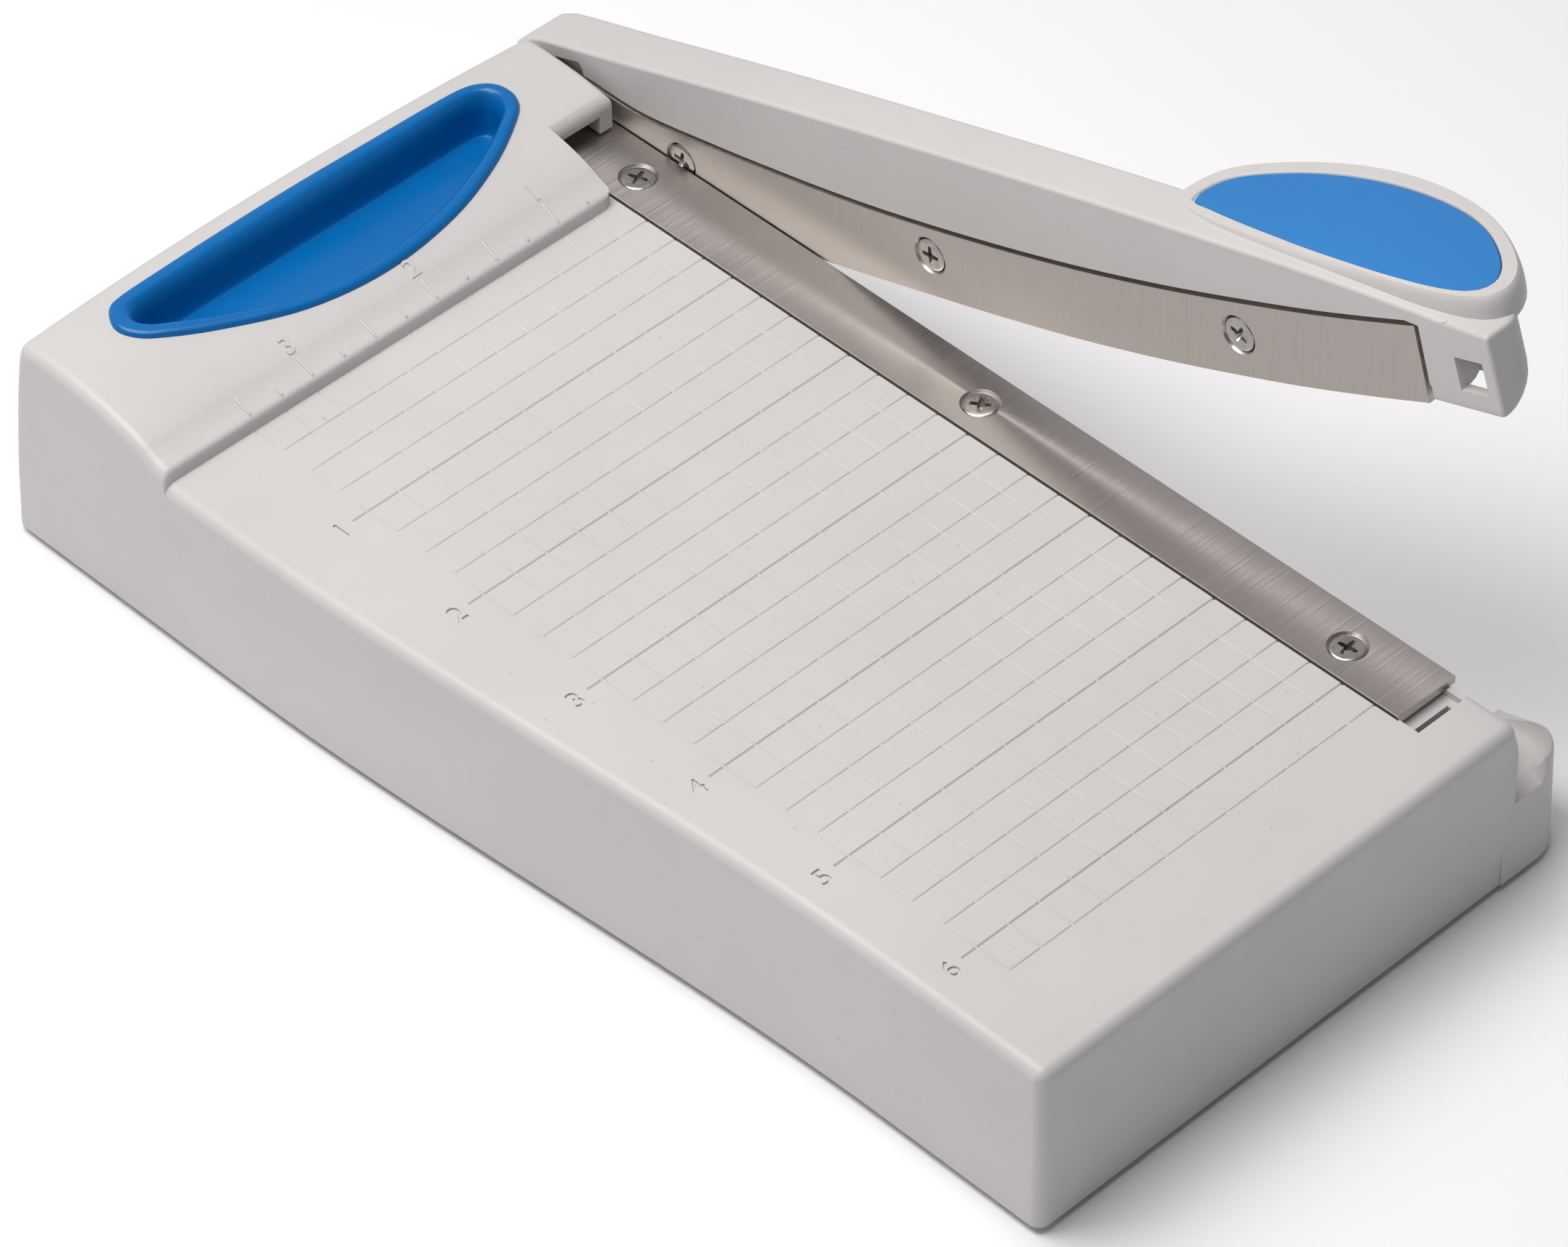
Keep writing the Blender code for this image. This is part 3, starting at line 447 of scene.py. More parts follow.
GREY = moulded("housing_grey", (0.565, 0.555, 0.545), 0.45)
BLUE = moulded("tray_blue", (0.0, 0.13, 0.4), 0.28, grain=0.02, spread=0.05, specular=0.35)
GRIP = moulded("grip_blue", (0.012, 0.178, 0.49), 0.58, grain=0.1)
COVER = moulded("cover_grey", (0.36, 0.36, 0.35), 0.6, grain=0.12)
RUBBER = moulded("foot_rubber", (0.025, 0.025, 0.027), 0.8, grain=0.2, spread=0.15)
STRIP_STEEL = brushed("strip_steel", (0.56, 0.53, 0.5), 0.36, lines=0.12)
ARM_STEEL = brushed("arm_steel", (0.53, 0.5, 0.475), 0.36, lines=0.15, turn=math.radians(19.5))
NICKEL = plated("screw_nickel", (0.52, 0.5, 0.47), 0.26)
STEEL = plated("hinge_steel", (0.5, 0.5, 0.5), 0.34)
BRASS = plated("bush_brass", (0.5, 0.37, 0.19), 0.4)


# ---------------------------------------------------------------- base

EDGE_R = 2.0
TURNS = 6
BENDS = [EDGE_R * math.cos(math.radians(90 * k / TURNS)) for k in range(TURNS + 1)]
FENCE_EDGE_R = 1.2
FENCE_CREST_Y = 30.6
LEDGE_Z = 0.1
LEDGE_FROM_Y = 7.0
LEDGE_FAR_Y = 34.1
TAPER_FROM_Y = -15
TAPER_LONG = 130


def left_x(y):
    """The base's left edge, which tapers in from the fence to the near corner."""
    t = min(max((TAPER_FROM_Y - y) / TAPER_LONG, 0), 1)
    return LEFT_NEAR_X + (LEFT_FAR_X - LEFT_NEAR_X) * (1 - t * t * (3 - 2 * t))


def bow(x, y):
    """How far a point of the fence is pushed back, so that the far face bulges in its middle."""
    across = (x - (LEFT_FAR_X + SIDE_X) / 2) / ((SIDE_X - LEFT_FAR_X) / 2)
    fade = min(max((y - 5) / 20, 0), 1)
    return FAR_BOW * (1 - across * across) * fade


def fence_z(y):
    return height(FENCE_TOP + FAR_FACE[:4], y)


def drop(bend, radius):
    """How far a rounded edge falls, from how far a point lies past the start of the rounding."""
    return radius - math.sqrt(max(radius * radius - bend * bend, 0))


GROOVE = 0.5
GROOVE_DEEP = 0.21
INCH_GROOVE = 0.62
INCH_DEEP = 0.28
FLANKS = (-0.5, -0.1, 0.1, 0.5)
GRID_LEFT = -14 * GRID
INCH_LEFT = -91.8
NUMERAL_X = -94.6
GRID_NEAR = -25 * GRID


def groove_depth(x, y):
    """Depth of the ruled grid at a point of the board."""
    deep = 0.0
    k = round(-y / GRID)
    wide = INCH_GROOVE if k % 4 == 0 else GROOVE
    far_left = INCH_LEFT if k % 4 == 0 else GRID_LEFT
    if 1 <= k <= 25 and abs(y + k * GRID) < wide * 0.2 and far_left - 0.12 < x < -10:
        deep = INCH_DEEP if k % 4 == 0 else GROOVE_DEEP
    k = round(-x / GRID)
    if 3 <= k <= 14 and abs(x + k * GRID) < GROOVE * 0.2 and GRID_NEAR - 0.12 < y < -0.1:
        deep = max(deep, GROOVE_DEEP)
    return deep


def base_rows():
    """The base's outline from the near face over the top to the far face.

    Each row is (y, z, direction in which its ends are rounded off, radius at the right end).
    """
    rows = [(NEAR_Y, z, 180, r) for z, r in (
        (FLOOR_Z, 0), (-22, 0), (-12, 0), (-6.5, 0), (-4.5, 0.4), (-3, 1.1), (-EDGE_R, EDGE_R))]
    for k in range(1, TURNS + 1):
        angle = math.radians(90 * k / TURNS)
        y, z = NEAR_Y + EDGE_R - EDGE_R * math.cos(angle), -EDGE_R + EDGE_R * math.sin(angle)
        rows.append((y, z, 180 - 90 * k / TURNS, EDGE_R))
    board = [NEAR_Y + 5, NEAR_Y + 9, NEAR_Y + 13]
    for k in range(25, 0, -1):
        wide = INCH_GROOVE if k % 4 == 0 else GROOVE
        board += [-k * GRID + side * wide for side in FLANKS]
    rows += [(y, 0, 90, EDGE_R) for y in board]
    rows += [(-2.5, 0, 90, EDGE_R), (-0.25, 0, 90, EDGE_R)]
    for y, z in FENCE_TOP[:8] + smooth(FENCE_TOP[8:], 3):
        rows.append((y, z, 90, FENCE_EDGE_R if y > LEDGE_FROM_Y else EDGE_R))
    rows += [(y, z, angle, FENCE_EDGE_R) for y, z, angle in FAR_FACE]
    return rows


def base_columns(y):
    """Places across the base on one row, between its two rounded edges."""
    start = left_x(y) + EDGE_R
    columns = [start + (-93.0 - start) * share for share in (0.35, 0.7, 1)]
    columns += [INCH_LEFT - 0.15, INCH_LEFT]
    for k in range(14, 2, -1):
        columns += [-k * GRID + side * GROOVE for side in FLANKS]
    return columns + [-15.5, -12, -8]


def base_skin():
    mesh = bmesh.new()
    rows = base_rows()
    grid = []
    for y, z, angle, right_r in rows:
        out_y, out_z = math.cos(math.radians(angle)), math.sin(math.radians(angle))
        near = y < NEAR_Y + EDGE_R
        ledge = y > LEDGE_FROM_Y and z > LEDGE_Z
        edge = FENCE_RIGHT_X if ledge else SIDE_X
        line = []
        spots = [(left_x(y) + EDGE_R - bend, bend, EDGE_R) for bend in BENDS]
        spots += [(x, 0, EDGE_R) for x in base_columns(y)]
        start = edge - right_r
        across = right_r
        if near and right_r < EDGE_R:
            start = edge - EDGE_R
            across = EDGE_R
        spots += [
            (start + bend * across / EDGE_R, bend * right_r / EDGE_R, right_r) for bend in reversed(BENDS)]
        for x, bend, radius in spots:
            fall = drop(bend, radius)
            deep = groove_depth(x, y) if z == 0 else 0
            moved = y - out_y * fall
            line.append((x, moved + bow(x, y), z - out_z * fall - deep))
        _, y_end, z_end = line[-1]
        if ledge:
            y_end = min(y_end, LEDGE_FAR_Y)
            line += [(edge, y_end, LEDGE_Z), (SIDE_X, y_end, LEDGE_Z)]
        else:
            line += [(SIDE_X, y_end, z_end), (SIDE_X, y_end, z_end)]
        grid.append([mesh.verts.new(point) for point in line])
    for near, far in zip(grid, grid[1:]):
        for i in range(len(near) - 1):
            mesh.faces.new((near[i], near[i + 1], far[i + 1], far[i]))
    flat = [j for j, row in enumerate(rows) if row[2] == 90 and row[0] < 0]
    feet = {j: mesh.verts.new((grid[j][0].co.x, grid[j][0].co.y, FLOOR_Z)) for j in flat[1:]}
    stack = [grid[j][0] for j in range(flat[0] + 1)]
    mesh.faces.new(stack + [grid[flat[1]][0], feet[flat[1]]])
    for j, k in zip(flat[1:], flat[2:]):
        mesh.faces.new((feet[j], grid[j][0], grid[k][0], feet[k]))
    last = flat[-1]
    mesh.faces.new([feet[last]] + [row[0] for row in grid[last:]])
    mesh.faces.new([row[-1] for row in grid])
    mesh.faces.new(grid[0] + grid[-1][::-1] + [feet[j] for j in reversed(flat[1:])])
    bmesh.ops.remove_doubles(mesh, verts=mesh.verts, dist=0.0005)
    bmesh.ops.dissolve_degenerate(mesh, edges=mesh.edges, dist=0.0002)
    return mesh


def lip_z(y):
    """Top of the latch shelf's outer lip."""
    return -12.5 - 3.0 * min(max((y + 171.5) / 9.0, 0), 1)


def shelf_plan(inset, left=-3.6):
    """Plan outline of the latch shelf, which reaches under the board as far as left."""
    radius = SHELF_CORNER_R - inset
    corner = arc(SHELF_RIGHT_X - SHELF_CORNER_R, NEAR_Y + SHELF_CORNER_R, radius, -90, 0, 10)
    side = [(SHELF_RIGHT_X - inset, y) for y in (-167.0, -165.0, -163.0, SHELF_Y - inset)]
    near = NEAR_Y + inset
    return [(left, near), (2.0, near)] + corner + side + [(left, SHELF_Y - inset)]


def latch_shelf():
    rings = [[(x, y, z) for x, y in shelf_plan(inset)] for z, inset in (
        (FLOOR_Z, -0.3), (-24, -0.05), (-17.5, 0.15))]
    for under, inset in ((0.75, 0.3), (0.35, 0.42), (0.1, 0.68), (0.0, 1.05)):
        rings.append([(x, y, lip_z(y) - under) for x, y in shelf_plan(inset)])
    return lofted(rings)


CHANNEL_LEFT_X = SIDE_X - 0.05
CHANNEL_MOUTH_X = 5.8
CHANNEL_CORNER_X = 4.8
CHANNEL_RIGHT_X = 10.9
CHANNEL_R = 6.5


def channel():
    """The space on the shelf that the arm's end block drops into: a trough that opens on the near face."""
    rings = []
    for z, inset in (
        (SHELF_FLOOR_Z, 4.2), (-16.3, 3.1), (-15.9, 2.0), (-15.1, 1.0), (-14.0, 0.4), (-12.5, 0.1), (4, 0),
    ):
        mouth = CHANNEL_MOUTH_X - 0.4 * inset
        ring = [(CHANNEL_LEFT_X, NEAR_Y - 4), (mouth, NEAR_Y - 4), (mouth, NEAR_Y + 0.5)]
        ring += arc(CHANNEL_CORNER_X, NEAR_Y + SHELF_CORNER_R, CHANNEL_R - inset, -75, 0, 8)
        ring += [(CHANNEL_RIGHT_X - inset, SHELF_Y + 1), (CHANNEL_LEFT_X, SHELF_Y + 1)]
        rings.append([(x, y, z) for x, y in ring])
    return lofted(rings)


# Boxes cut out of the base, each as its limits in x, y and z
FENCE_CAVITY = (-103, -5), (9, 32.5), (-12, 3.0)
STRIP_SEAT = (-13.5, 2), (STRIP_NEAR_Y - 0.35, STRIP_FAR_Y + 0.4), (-1.55, 0.6)
BRIDGE_GAP = (-14.0, -4.6), (BRIDGE_Y - 1, STRIP_FAR_Y + 0.4), (-0.1, 4.0)
BRIDGE_SLIT = (-4.7, 2), (BRIDGE_Y - 1, STRIP_FAR_Y + 0.4), (-0.1, 0.2)
POCKET = (-13.2, -3.0), (-167.1, STRIP_NEAR_Y + 1), (-2.1, 2)
POCKET_SLOT = (-12.3, -4.4), (-167.1, -164.9), (-8, 2)
POCKET_STEP = (-3.5, 2), (-166.9, STRIP_NEAR_Y + 0.2), (-0.9, 2)
BOARD_UNDER_Z = -3.6
BRIDGE_R = 2.6
BOLT_BORE_R = 3.75


def square_hole(x):
    """The square hole for the latch, through the given limits in x."""
    half = TIP_HOLE / 2
    return box(x, (TIP_HOLE_Y - half, TIP_HOLE_Y + half), (TIP_HOLE_Z - half, TIP_HOLE_Z + half))


def base_housing():
    base = put("base_housing", base_skin())
    combine(base, "UNION", [latch_shelf()])
    inner = [(left_x(y) + WALL, y) for y in (NEAR_Y + WALL, *range(-168, 30, 8), 30)]
    inner += [(x, 35.2 + bow(x, 30)) for x in (-104.4, -88, -70, -54, -36, -18, -3.9)]
    inner.append((SIDE_X - WALL, NEAR_Y + WALL))
    notch = [
        (2, -1), (2, BRIDGE_Y - 0.02), (NOTCH_LEFT_X, BRIDGE_Y - 0.02), (NOTCH_LEFT_X, 1.9), (-14.4, 1.3),
        (-14.7, 0.8), (-15.2, 0.45), (-16.2, 0.05), (-16.2, -1),
    ]
    front = [(-1, 0.0), (BRIDGE_Y, 0.0)]
    front += arc(BRIDGE_Y + BRIDGE_R, 4.55, BRIDGE_R, 180, 90, 6) + [(16.4, 12), (-1, 12)]
    cuts = [
        extruded(inner, "z", FLOOR_Z - 2, BOARD_UNDER_Z),
        box(*FENCE_CAVITY),
        extruded(shelf_plan(WALL, left=-1.2), "z", FLOOR_Z - 2, SHELF_FLOOR_Z - WALL),
        box(*STRIP_SEAT),
        extruded(notch, "z", 0.0, 12),
        extruded(front, "x", NOTCH_LEFT_X, 2),
        box(*BRIDGE_GAP),
        box(*BRIDGE_SLIT),
        box(*POCKET),
        box(*POCKET_SLOT),
        box(*POCKET_STEP),
        channel(),
        extruded(grown(smooth(TRAY, 6, closed=True), -1.0), "z", -12, 12),
        turned("x", (0, PIVOT.y, PIVOT.z), [(BOLT_BORE_R, -10), (BOLT_BORE_R, 0)]),
        square_hole((-6, 2)),
    ]
    cuts += [numeral(str(k), NUMERAL_X, -INCH * k - 0.2, 3.2, -0.35, 1, 0.07) for k in range(1, 7)]
    combine(base, "DIFFERENCE", cuts)
    return finished(base, GREY, "base", ["base_shell"])


TICK_NEAR_Y = 0.75
SHORT_TICK_Y = 2.9
LONG_TICK_Y = 4.6


def ruler_relief():
    """Ticks and numerals that stand proud of the fence."""
    mesh = bmesh.new()
    for k in range(3, 15):
        x = -k * GRID
        far = SHORT_TICK_Y if k % 2 else LONG_TICK_Y
        rings = []
        for share, size in (
            (0, 0.35), (0.04, 0.75), (0.12, 1), (0.5, 1), (0.88, 1), (0.96, 0.75), (1, 0.35),
        ):
            y = TICK_NEAR_Y + (far - TICK_NEAR_Y) * share
            low = fence_z(y) - 0.2
            rings.append([(x + 0.31 * size * u, y, low + (0.2 + 0.26 * size) * v) for u, v in (
                (-1, 0), (-1, 0.45), (-0.75, 0.82), (-0.35, 1), (0.35, 1), (0.75, 0.82), (1, 0.45), (1, 0))])
        lofted(rings, mesh)
    relief = put("ruler_relief", mesh)
    for k in (1, 2, 3):
        figure = numeral(str(k), -INCH * k, 6.8, 3.0, -0.3, 0.24, 0.04)
        for vertex in figure.verts:
            vertex.co.z += fence_z(vertex.co.y)
        part = put("numeral", figure)
        joined = bmesh.new()
        joined.from_mesh(relief.data)
        joined.from_mesh(part.data)
        joined.to_mesh(relief.data)
        joined.free()
        bpy.data.objects.remove(part)
    return finished(relief, GREY, "base")


def over_fence(outline, above):
    """A plan outline laid on the fence's top, at a height above it."""
    return [(x, y, fence_z(min(y - bow(x, y), FENCE_CREST_Y)) + above) for x, y in outline]


def clip_tray():
    """A shallow tray with a broad soft rim that rolls into its cavity."""
    outline = smooth(TRAY, 6, closed=True)
    floor = smooth(TRAY_FLOOR, 6, closed=True)
    rings = [[(x, y, TRAY_FLOOR_Z - 1.4) for x, y in between(outline, floor, 0.9)]]
    rings += [over_fence(grown(outline, -inset), above) for inset, above in (
        (1.9, -2.6), (1.6, -1.2), (0.25, -1.0))]
    rings += [over_fence(between(outline, floor, share), above) for share, above in (
        (0.0, -0.6), (0.0, 0.2), (0.03, 0.55), (0.08, 0.8), (0.16, 0.93), (0.28, 0.95), (0.42, 0.88),
        (0.52, 0.65), (0.61, 0.2), (0.69, -0.5), (0.76, -1.4), (0.81, -2.4))]
    for share, z in ((0.86, 2.9), (0.9, 1.9), (0.94, 1.35), (0.98, 1.08), (1.04, TRAY_FLOOR_Z)):
        rings.append([(x, y, z) for x, y in between(outline, floor, share)])
    tray = put("clip_tray", lofted(rings))
    return finished(tray, BLUE, "base", ["storage_tray"], sharp=50)


# ---------------------------------------------------------------- steel


def fixed_strip():
    left, right = STRIP_X
    outline = [(left, STRIP_NEAR_Y), (right, STRIP_NEAR_Y), (right, STRIP_FAR_Y), (left, STRIP_FAR_Y)]
    strip = put("cutting_strip", lofted([
        [(x, y, z) for x, y in grown(outline, -inset)] for z, inset in (
            (-1.25, 0.0), (STRIP_TOP_Z - 0.14, 0.0), (STRIP_TOP_Z - 0.04, 0.04), (STRIP_TOP_Z, 0.16))]))
    combine(strip, "DIFFERENCE", [
        turned("z", (x, y, 0), [(2.3, -4), (2.3, -0.9), (3.2, 0.05), (3.25, 0.3)]) for x, y in STRIP_SCREWS])
    return finished(strip, STRIP_STEEL, "base", ["fixed_blade"])


def blade_outline():
    """Side outline of the moving blade, with its round end about the hinge."""
    return smooth(BLADE_EDGE, 8) + arc(PIVOT.y, PIVOT.z, HUB_R, -80, 80, 20) + smooth(BLADE_TOP, 6)


BOLT_HOLE_R = 2.65
BOLT_HEAD_R = 5.3


def swinging_blade():
    low = BLADE_LEFT_X
    high = low + BLADE_THICK
    levels = ((low, 0.12), (low + 0.05, 0.03), (low + 0.16, 0), (high - 0.1, 0), (high, 0.1))
    blade = put("swinging_blade", rounded(blade_outline(), "x", levels))
    sink = [(3.4, -1), (3.3, low), (2.5, low + 1.1), (2.5, 4)]
    tools = [turned("x", (0, y, z), sink) for y, z in BLADE_SCREWS]
    tools.append(turned("x", (0, PIVOT.y, PIVOT.z), [(BOLT_HOLE_R, -2), (BOLT_HOLE_R, 4)]))
    combine(blade, "DIFFERENCE", tools)
    return finished(blade, ARM_STEEL, "arm", ["moving_blade"])


def cross_screw(name, axis, centre, face, towards, node, body, turn):
    """Countersunk screw with a cross recess whose flanks taper towards its middle."""
    profile = [(r, face + towards * t) for r, t in (
        (2.0, -0.06), (2.5, -0.03), (2.7, 0.03), (2.8, 0.14), (2.78, 0.3), (1.5, 1.5), (1.45, 1.8),
        (1.45, 6.0), (0.5, 7.0))]
    screw = put(name, turned(axis, centre, profile))
    tools = []
    for k in range(2):
        rings = []
        for level, long, wide in ((-0.4, 1.75, 0.44), (0.25, 1.62, 0.36), (1.25, 0.7, 0.24)):
            ring = []
            for u, v in (
                (-long, -wide * 0.7), (-long * 0.5, -wide), (long * 0.5, -wide), (long, -wide * 0.7),
                (long, wide * 0.7), (long * 0.5, wide), (-long * 0.5, wide), (-long, wide * 0.7),
            ):
                a = math.radians(turn + 90 * k)
                point = along(axis, face + towards * level, u * math.cos(a) - v * math.sin(a),
                              u * math.sin(a) + v * math.cos(a))
                ring.append(tuple(c + p for c, p in zip(centre, point)))
            rings.append(ring)
        tools.append(lofted(rings))
    combine(screw, "DIFFERENCE", tools)
    return finished(screw, NICKEL, body, [node])


def screws():
    for k, ((x, y), turn) in enumerate(zip(STRIP_SCREWS, (20, 35, 8)), 1):
        cross_screw(f"strip_screw_{k}", "z", (x, y, 0), -0.1, -1, f"fixed_blade_screw_{k}", "base", turn)
    face = BLADE_LEFT_X + 0.15
    for k, ((y, z), turn) in enumerate(zip(BLADE_SCREWS, (30, 12, 40)), 1):
        cross_screw(f"blade_screw_{k}", "x", (0, y, z), face, 1, f"moving_blade_screw_{k}", "arm", turn)


# ---------------------------------------------------------------- arm


ARM_FAR_CORNER = [(35.45, 4.0), (34.7, 6.1), (32.6, 7.15)]
ARM_NEAR_Y = -168
BLADE_SHOWS = 2.6


def arm_side():
    """Side outline of the arm without its end block. The blade's edge shows below it."""
    top = ARM_FAR_CORNER + [p for p in smooth(ARM_TOP, 5) if ARM_NEAR_Y < p[0] < 31]
    lower = [(y, z + BLADE_SHOWS) for y, z in smooth(BLADE_EDGE, 5) if y < 12]
    near = [(ARM_NEAR_Y, height(ARM_TOP, ARM_NEAR_Y)), (ARM_NEAR_Y, lower[0][1]), (-164.0, lower[0][1])]
    return top + near + lower + arc(PIVOT.y, PIVOT.z, HUB_R, -80, 10, 10)


def bends(start, radius, side, count=5):
    """(level, inset) pairs that round an edge, from the flat outwards."""
    angles = [math.radians(90 * k / count) for k in range(count + 1)]
    return [(start + side * radius * math.sin(a), radius * (1 - math.cos(a))) for a in angles]


BLOCK_LEFT_X = ARM_LEFT_X - 0.02
BLOCK_RIGHT_X = ARM_RIGHT_X + 0.03
BLOCK_NEAR_Y = TIP_Y + 0.3
BLOCK_ROUND = 5.0
BLOCK_CORNER_R = 5.6
BLOCK_EDGE_R = 0.6


def end_block():
    """Block at the arm's tip, rounded below and at its near right corner.

    Each ring has its distance from the block's bottom, or else from its top, and its inset.
    """
    rings = []
    for under, inset, from_top in (
        (0.0, 0.5, False), (0.15, 0.15, False), (0.5, 0.0, False), (1.2, 0.0, False),
        (2.2, 0.0, False), (3.5, 0.0, False), (5.0, 0.0, False), (9.0, 0.0, False),
        (0.7, 0.0, True), (0.35, 0.1, True), (0.1, 0.32, True), (0.0, 0.75, True),
    ):
        lift = BLOCK_ROUND if from_top else min(under, BLOCK_ROUND)
        right = BLOCK_RIGHT_X - drop(BLOCK_ROUND - lift, BLOCK_ROUND) - inset
        left = BLOCK_LEFT_X + inset
        near = BLOCK_NEAR_Y + inset
        radius = min(BLOCK_CORNER_R, right - left - 0.7)
        ring = [(left, TIP_BLOCK_Y)]
        ring += arc(left + BLOCK_EDGE_R, near + BLOCK_EDGE_R, BLOCK_EDGE_R, 180, 270, 4)
        ring += arc(right - radius, near + radius, radius, -90, 0, 9) + [(right, TIP_BLOCK_Y)]
        rings.append([
            (x, y, height(ARM_TOP, y) - under if from_top else TIP_BOTTOM_Z + under) for x, y in ring])
    return lofted(rings)


LEAF_CENTRE = (12.0, -140.0)
LEAF_SPOKES = 150
PAD_Z = 3.4
PAD_FROM_Y = -110
PAD_SLOPE = 0.028


def pad_z(y):
    """Height of the leaf's top, which falls towards the tip."""
    return PAD_Z + PAD_SLOPE * (y - PAD_FROM_Y)


def reaches(outline):
    """Distance from the leaf's centre to an outline along each spoke."""
    found = []
    for k in range(LEAF_SPOKES):
        a = 2 * math.pi * k / LEAF_SPOKES
        dx, dy = math.cos(a), math.sin(a)
        best = 0.0
        for (x0, y0), (x1, y1) in zip(outline, outline[1:] + outline[:1]):
            ex, ey = x1 - x0, y1 - y0
            cross = dx * ey - dy * ex
            if abs(cross) < 1e-12:
                continue
            rx, ry = x0 - LEAF_CENTRE[0], y0 - LEAF_CENTRE[1]
            share = (rx * dy - ry * dx) / cross
            reach = (rx * ey - ry * ex) / cross
            if -1e-9 <= share <= 1 + 1e-9 and reach > best:
                best = reach
        found.append(best)
    return found


def spoke_ring(lengths, depth):
    """A ring of points at a length along each spoke and at a depth from the leaf's top."""
    ring = []
    for k, length in enumerate(lengths):
        a = 2 * math.pi * k / LEAF_SPOKES
        x, y = LEAF_CENTRE[0] + length * math.cos(a), LEAF_CENTRE[1] + length * math.sin(a)
        ring.append((x, y, pad_z(y) + depth))
    return ring


OUTER = reaches(smooth(LEAF, 10, closed=True))
INNER = reaches(smooth(INSERT, 10, closed=True))


def leaf_rim():
    rings = [spoke_ring([r - inset for r in OUTER], depth) for inset, depth in (
        (2.7, -2.6), (2.3, -5.0), (1.9, -5.25), (1.0, -5.2), (0.45, -4.95), (0.1, -4.4), (0.0, -3.7),
        (0.0, -2.2), (0.1, -1.5), (0.25, -0.85), (0.5, -0.38), (0.8, -0.08))]
    rings.append(spoke_ring([b + 0.42 for b in INNER], 0.02))
    rings += [spoke_ring([r + spare for r in INNER], depth) for spare, depth in (
        (0.25, -0.04), (0.08, -0.2), (0.0, -0.45), (0.0, -1.5))]
    return lofted(rings)


CAVITY_X = (3.7, 7.4)
CAVITY_NEAR_Y = -158
CAVITY_FAR_Y = 17
CAVITY_ROOF = 2.2
OPEN_BELOW_Z = -40
TIP_HOLLOW = (1.5, 7.6), (-174.2, -164.0), (OPEN_BELOW_Z, -5.0)
BOSS_R = 3.1
SCREW_HOLE_R = 1.75


def arm_housing():
    left = [(x, inset) for x, inset in reversed(bends(ARM_LEFT_X + 0.7, 0.7, -1, 4))]
    right = bends(ARM_RIGHT_X - 1.3, 1.3, 1)
    arm = put("arm_housing", rounded(arm_side(), "x", left + right))
    combine(arm, "UNION", [end_block(), leaf_rim()])
    roof = smooth(ARM_TOP, 3)
    cavity = [(y, z - CAVITY_ROOF) for y, z in roof if CAVITY_NEAR_Y < y < CAVITY_FAR_Y]
    cavity += [(CAVITY_NEAR_Y, OPEN_BELOW_Z), (CAVITY_FAR_Y, OPEN_BELOW_Z)]
    combine(arm, "DIFFERENCE", [extruded(cavity, "x", *CAVITY_X)])
    combine(arm, "UNION", [turned("x", (0, y, z), [(BOSS_R, 3.0), (BOSS_R, 8.2)]) for y, z in BLADE_SCREWS])
    window = [(19.0, -30), (19.0, 4.5), (19.6, 5.2), (50, 5.3), (50, -30)]
    bore = [(BOLT_HOLE_R, -2), (BOLT_HOLE_R, 6.6), (BOLT_HEAD_R, 6.61), (BOLT_HEAD_R, 12)]
    cuts = [
        extruded(grown(blade_outline(), 0.7), "x", -3, BLADE_SEAT_X),
        extruded(window, "x", -3, BLADE_SEAT_X),
        turned("x", (0, PIVOT.y, PIVOT.z), bore),
        square_hole((-2, 12)),
        box(*TIP_HOLLOW),
    ]
    cuts += [turned("x", (0, y, z), [(SCREW_HOLE_R, -1), (SCREW_HOLE_R, 7.4)]) for y, z in BLADE_SCREWS]
    combine(arm, "DIFFERENCE", cuts)
    return finished(arm, GREY, "arm", ["arm_shell"])


def thumb_pad():
    """Slightly crowned inlay in the leaf."""
    rings = [spoke_ring([r - 0.25 for r in INNER], -1.35)]
    rings += [spoke_ring([r - inset for r in INNER], depth) for inset, depth in (
        (0.12, -1.2), (0.12, -0.5), (0.2, -0.3), (0.45, -0.16))]
    for share, depth in ((0.8, 0.0), (0.6, 0.12), (0.4, 0.2), (0.2, 0.24), (0.05, 0.25)):
        rings.append(spoke_ring([r * share for r in INNER], depth))
    pad = put("thumb_pad", lofted(rings))
    return finished(pad, GRIP, "arm", ["grip_insert"])


# ---------------------------------------------------------------- scene


def dress_cad():
    """Surfaces for the CAD nodes that stay visible."""
    looks = {
        "housing": GREY, "cover": COVER, "foot": RUBBER, "hinge": STEEL, "bush": BRASS, "screws": NICKEL,
    }
    for entry in frame["record"]["subparts"]:
        node = frame["nodes"][entry["node"]]
        look = looks.get(entry["material_slot"])
        if look:
            node.data.materials.clear()
            node.data.materials.append(look)


def floor():
    mesh = bmesh.new()
    bmesh.ops.create_grid(mesh, x_segments=1, y_segments=1, size=6.0)
    ground = put("floor", mesh)
    surface = Surface("floor_paper", 0.6)
    stops = [(0.3, (0.94, 0.94, 0.94)), (0.7, (0.96, 0.96, 0.96))]
    surface.set("Base Color", surface.ramp(surface.noise(3, 2), stops))
    ground.data.materials.append(surface.made)


LAMP_COLOUR = (1.0, 0.99, 0.97)
SHADES = (
    (0.0, (0.12, 0.11, 0.135)),
    (0.45, (0.27, 0.255, 0.285)),
    (0.75, (0.58, 0.55, 0.57)),
    (1.0, (0.62, 0.6, 0.61)),
)


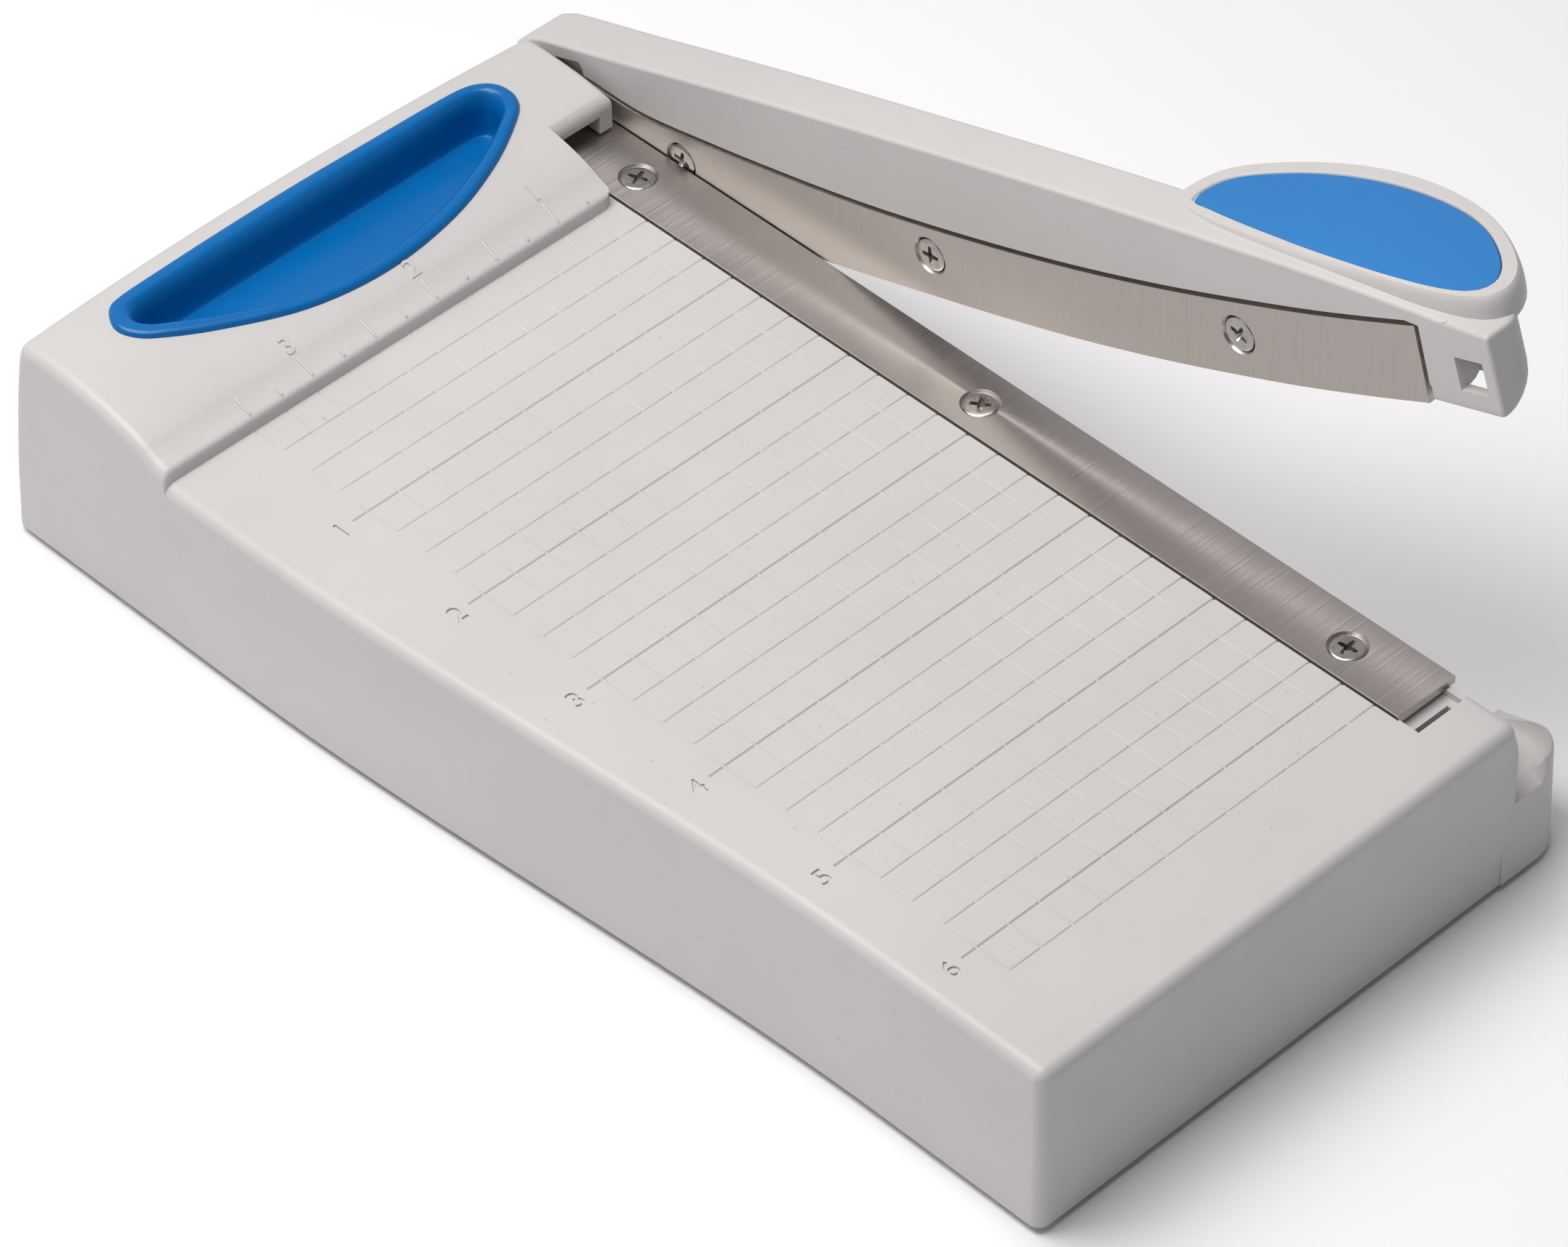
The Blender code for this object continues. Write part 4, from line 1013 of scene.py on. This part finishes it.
def lamp(name, location, width, power):
    """A square soft lamp that points at the middle of the part's footprint."""
    data = bpy.data.lights.new(name, "AREA")
    data.shape = "RECTANGLE"
    data.size = data.size_y = width
    data.energy = power
    data.color = LAMP_COLOUR
    made = bpy.data.objects.new(name, data)
    bpy.context.scene.collection.objects.link(made)
    made.location = location
    made.rotation_euler = (Vector((0, 0, 0)) - Vector(location)).to_track_quat("-Z", "Y").to_euler()


def light():
    """A pale studio, brighter behind the object than in front of it, with a near and a far soft lamp."""
    world = bpy.data.worlds.new("studio")
    world.use_nodes = True
    tree = world.node_tree
    background = tree.nodes["Background"]
    split = tree.nodes.new("ShaderNodeSeparateXYZ")
    tree.links.new(tree.nodes.new("ShaderNodeTexCoord").outputs["Generated"], split.inputs["Vector"])
    ramp = tree.nodes.new("ShaderNodeValToRGB")
    fill_ramp(ramp, SHADES)
    turn = tree.nodes.new("ShaderNodeMapRange")
    turn.inputs["From Min"].default_value = -1
    tree.links.new(split.outputs["Y"], turn.inputs["Value"])
    tree.links.new(turn.outputs["Result"], ramp.inputs["Fac"])
    tree.links.new(ramp.outputs["Color"], background.inputs["Color"])
    background.inputs["Strength"].default_value = 0.8
    bpy.context.scene.world = world
    lamp("near", (-0.125, 0.09, 0.43), 0.32, 1.15)
    lamp("key", (-0.35, 0.15, 1.82), 1.2, 15.5)
    bpy.context.scene.view_settings.view_transform = "Standard"


LENS = 169.71
CAMERA_OFFSET = Vector((-0.60783, -0.65046, 0.74471))
CAMERA_RIGHT = Vector((0.71415, -0.69996, -0.00682))
CAMERA_UP = Vector((0.48531, 0.48807, 0.72544))
CAMERA_FORWARD = Vector((0.50445, 0.52138, -0.68825))


def camera():
    data = bpy.data.cameras.new("camera")
    data.sensor_width = 36
    data.lens = LENS
    data.clip_start = 0.05
    data.clip_end = 20
    made = bpy.data.objects.new("camera", data)
    bpy.context.scene.collection.objects.link(made)
    turn = Matrix((CAMERA_RIGHT, CAMERA_UP, -CAMERA_FORWARD)).transposed().to_4x4()
    made.matrix_world = Matrix.Translation(ORIGIN + CAMERA_OFFSET) @ turn
    bpy.context.scene.camera = made


camera()
base_housing()
ruler_relief()
clip_tray()
fixed_strip()
swinging_blade()
screws()
arm_housing()
thumb_pad()
dress_cad()
floor()
light()
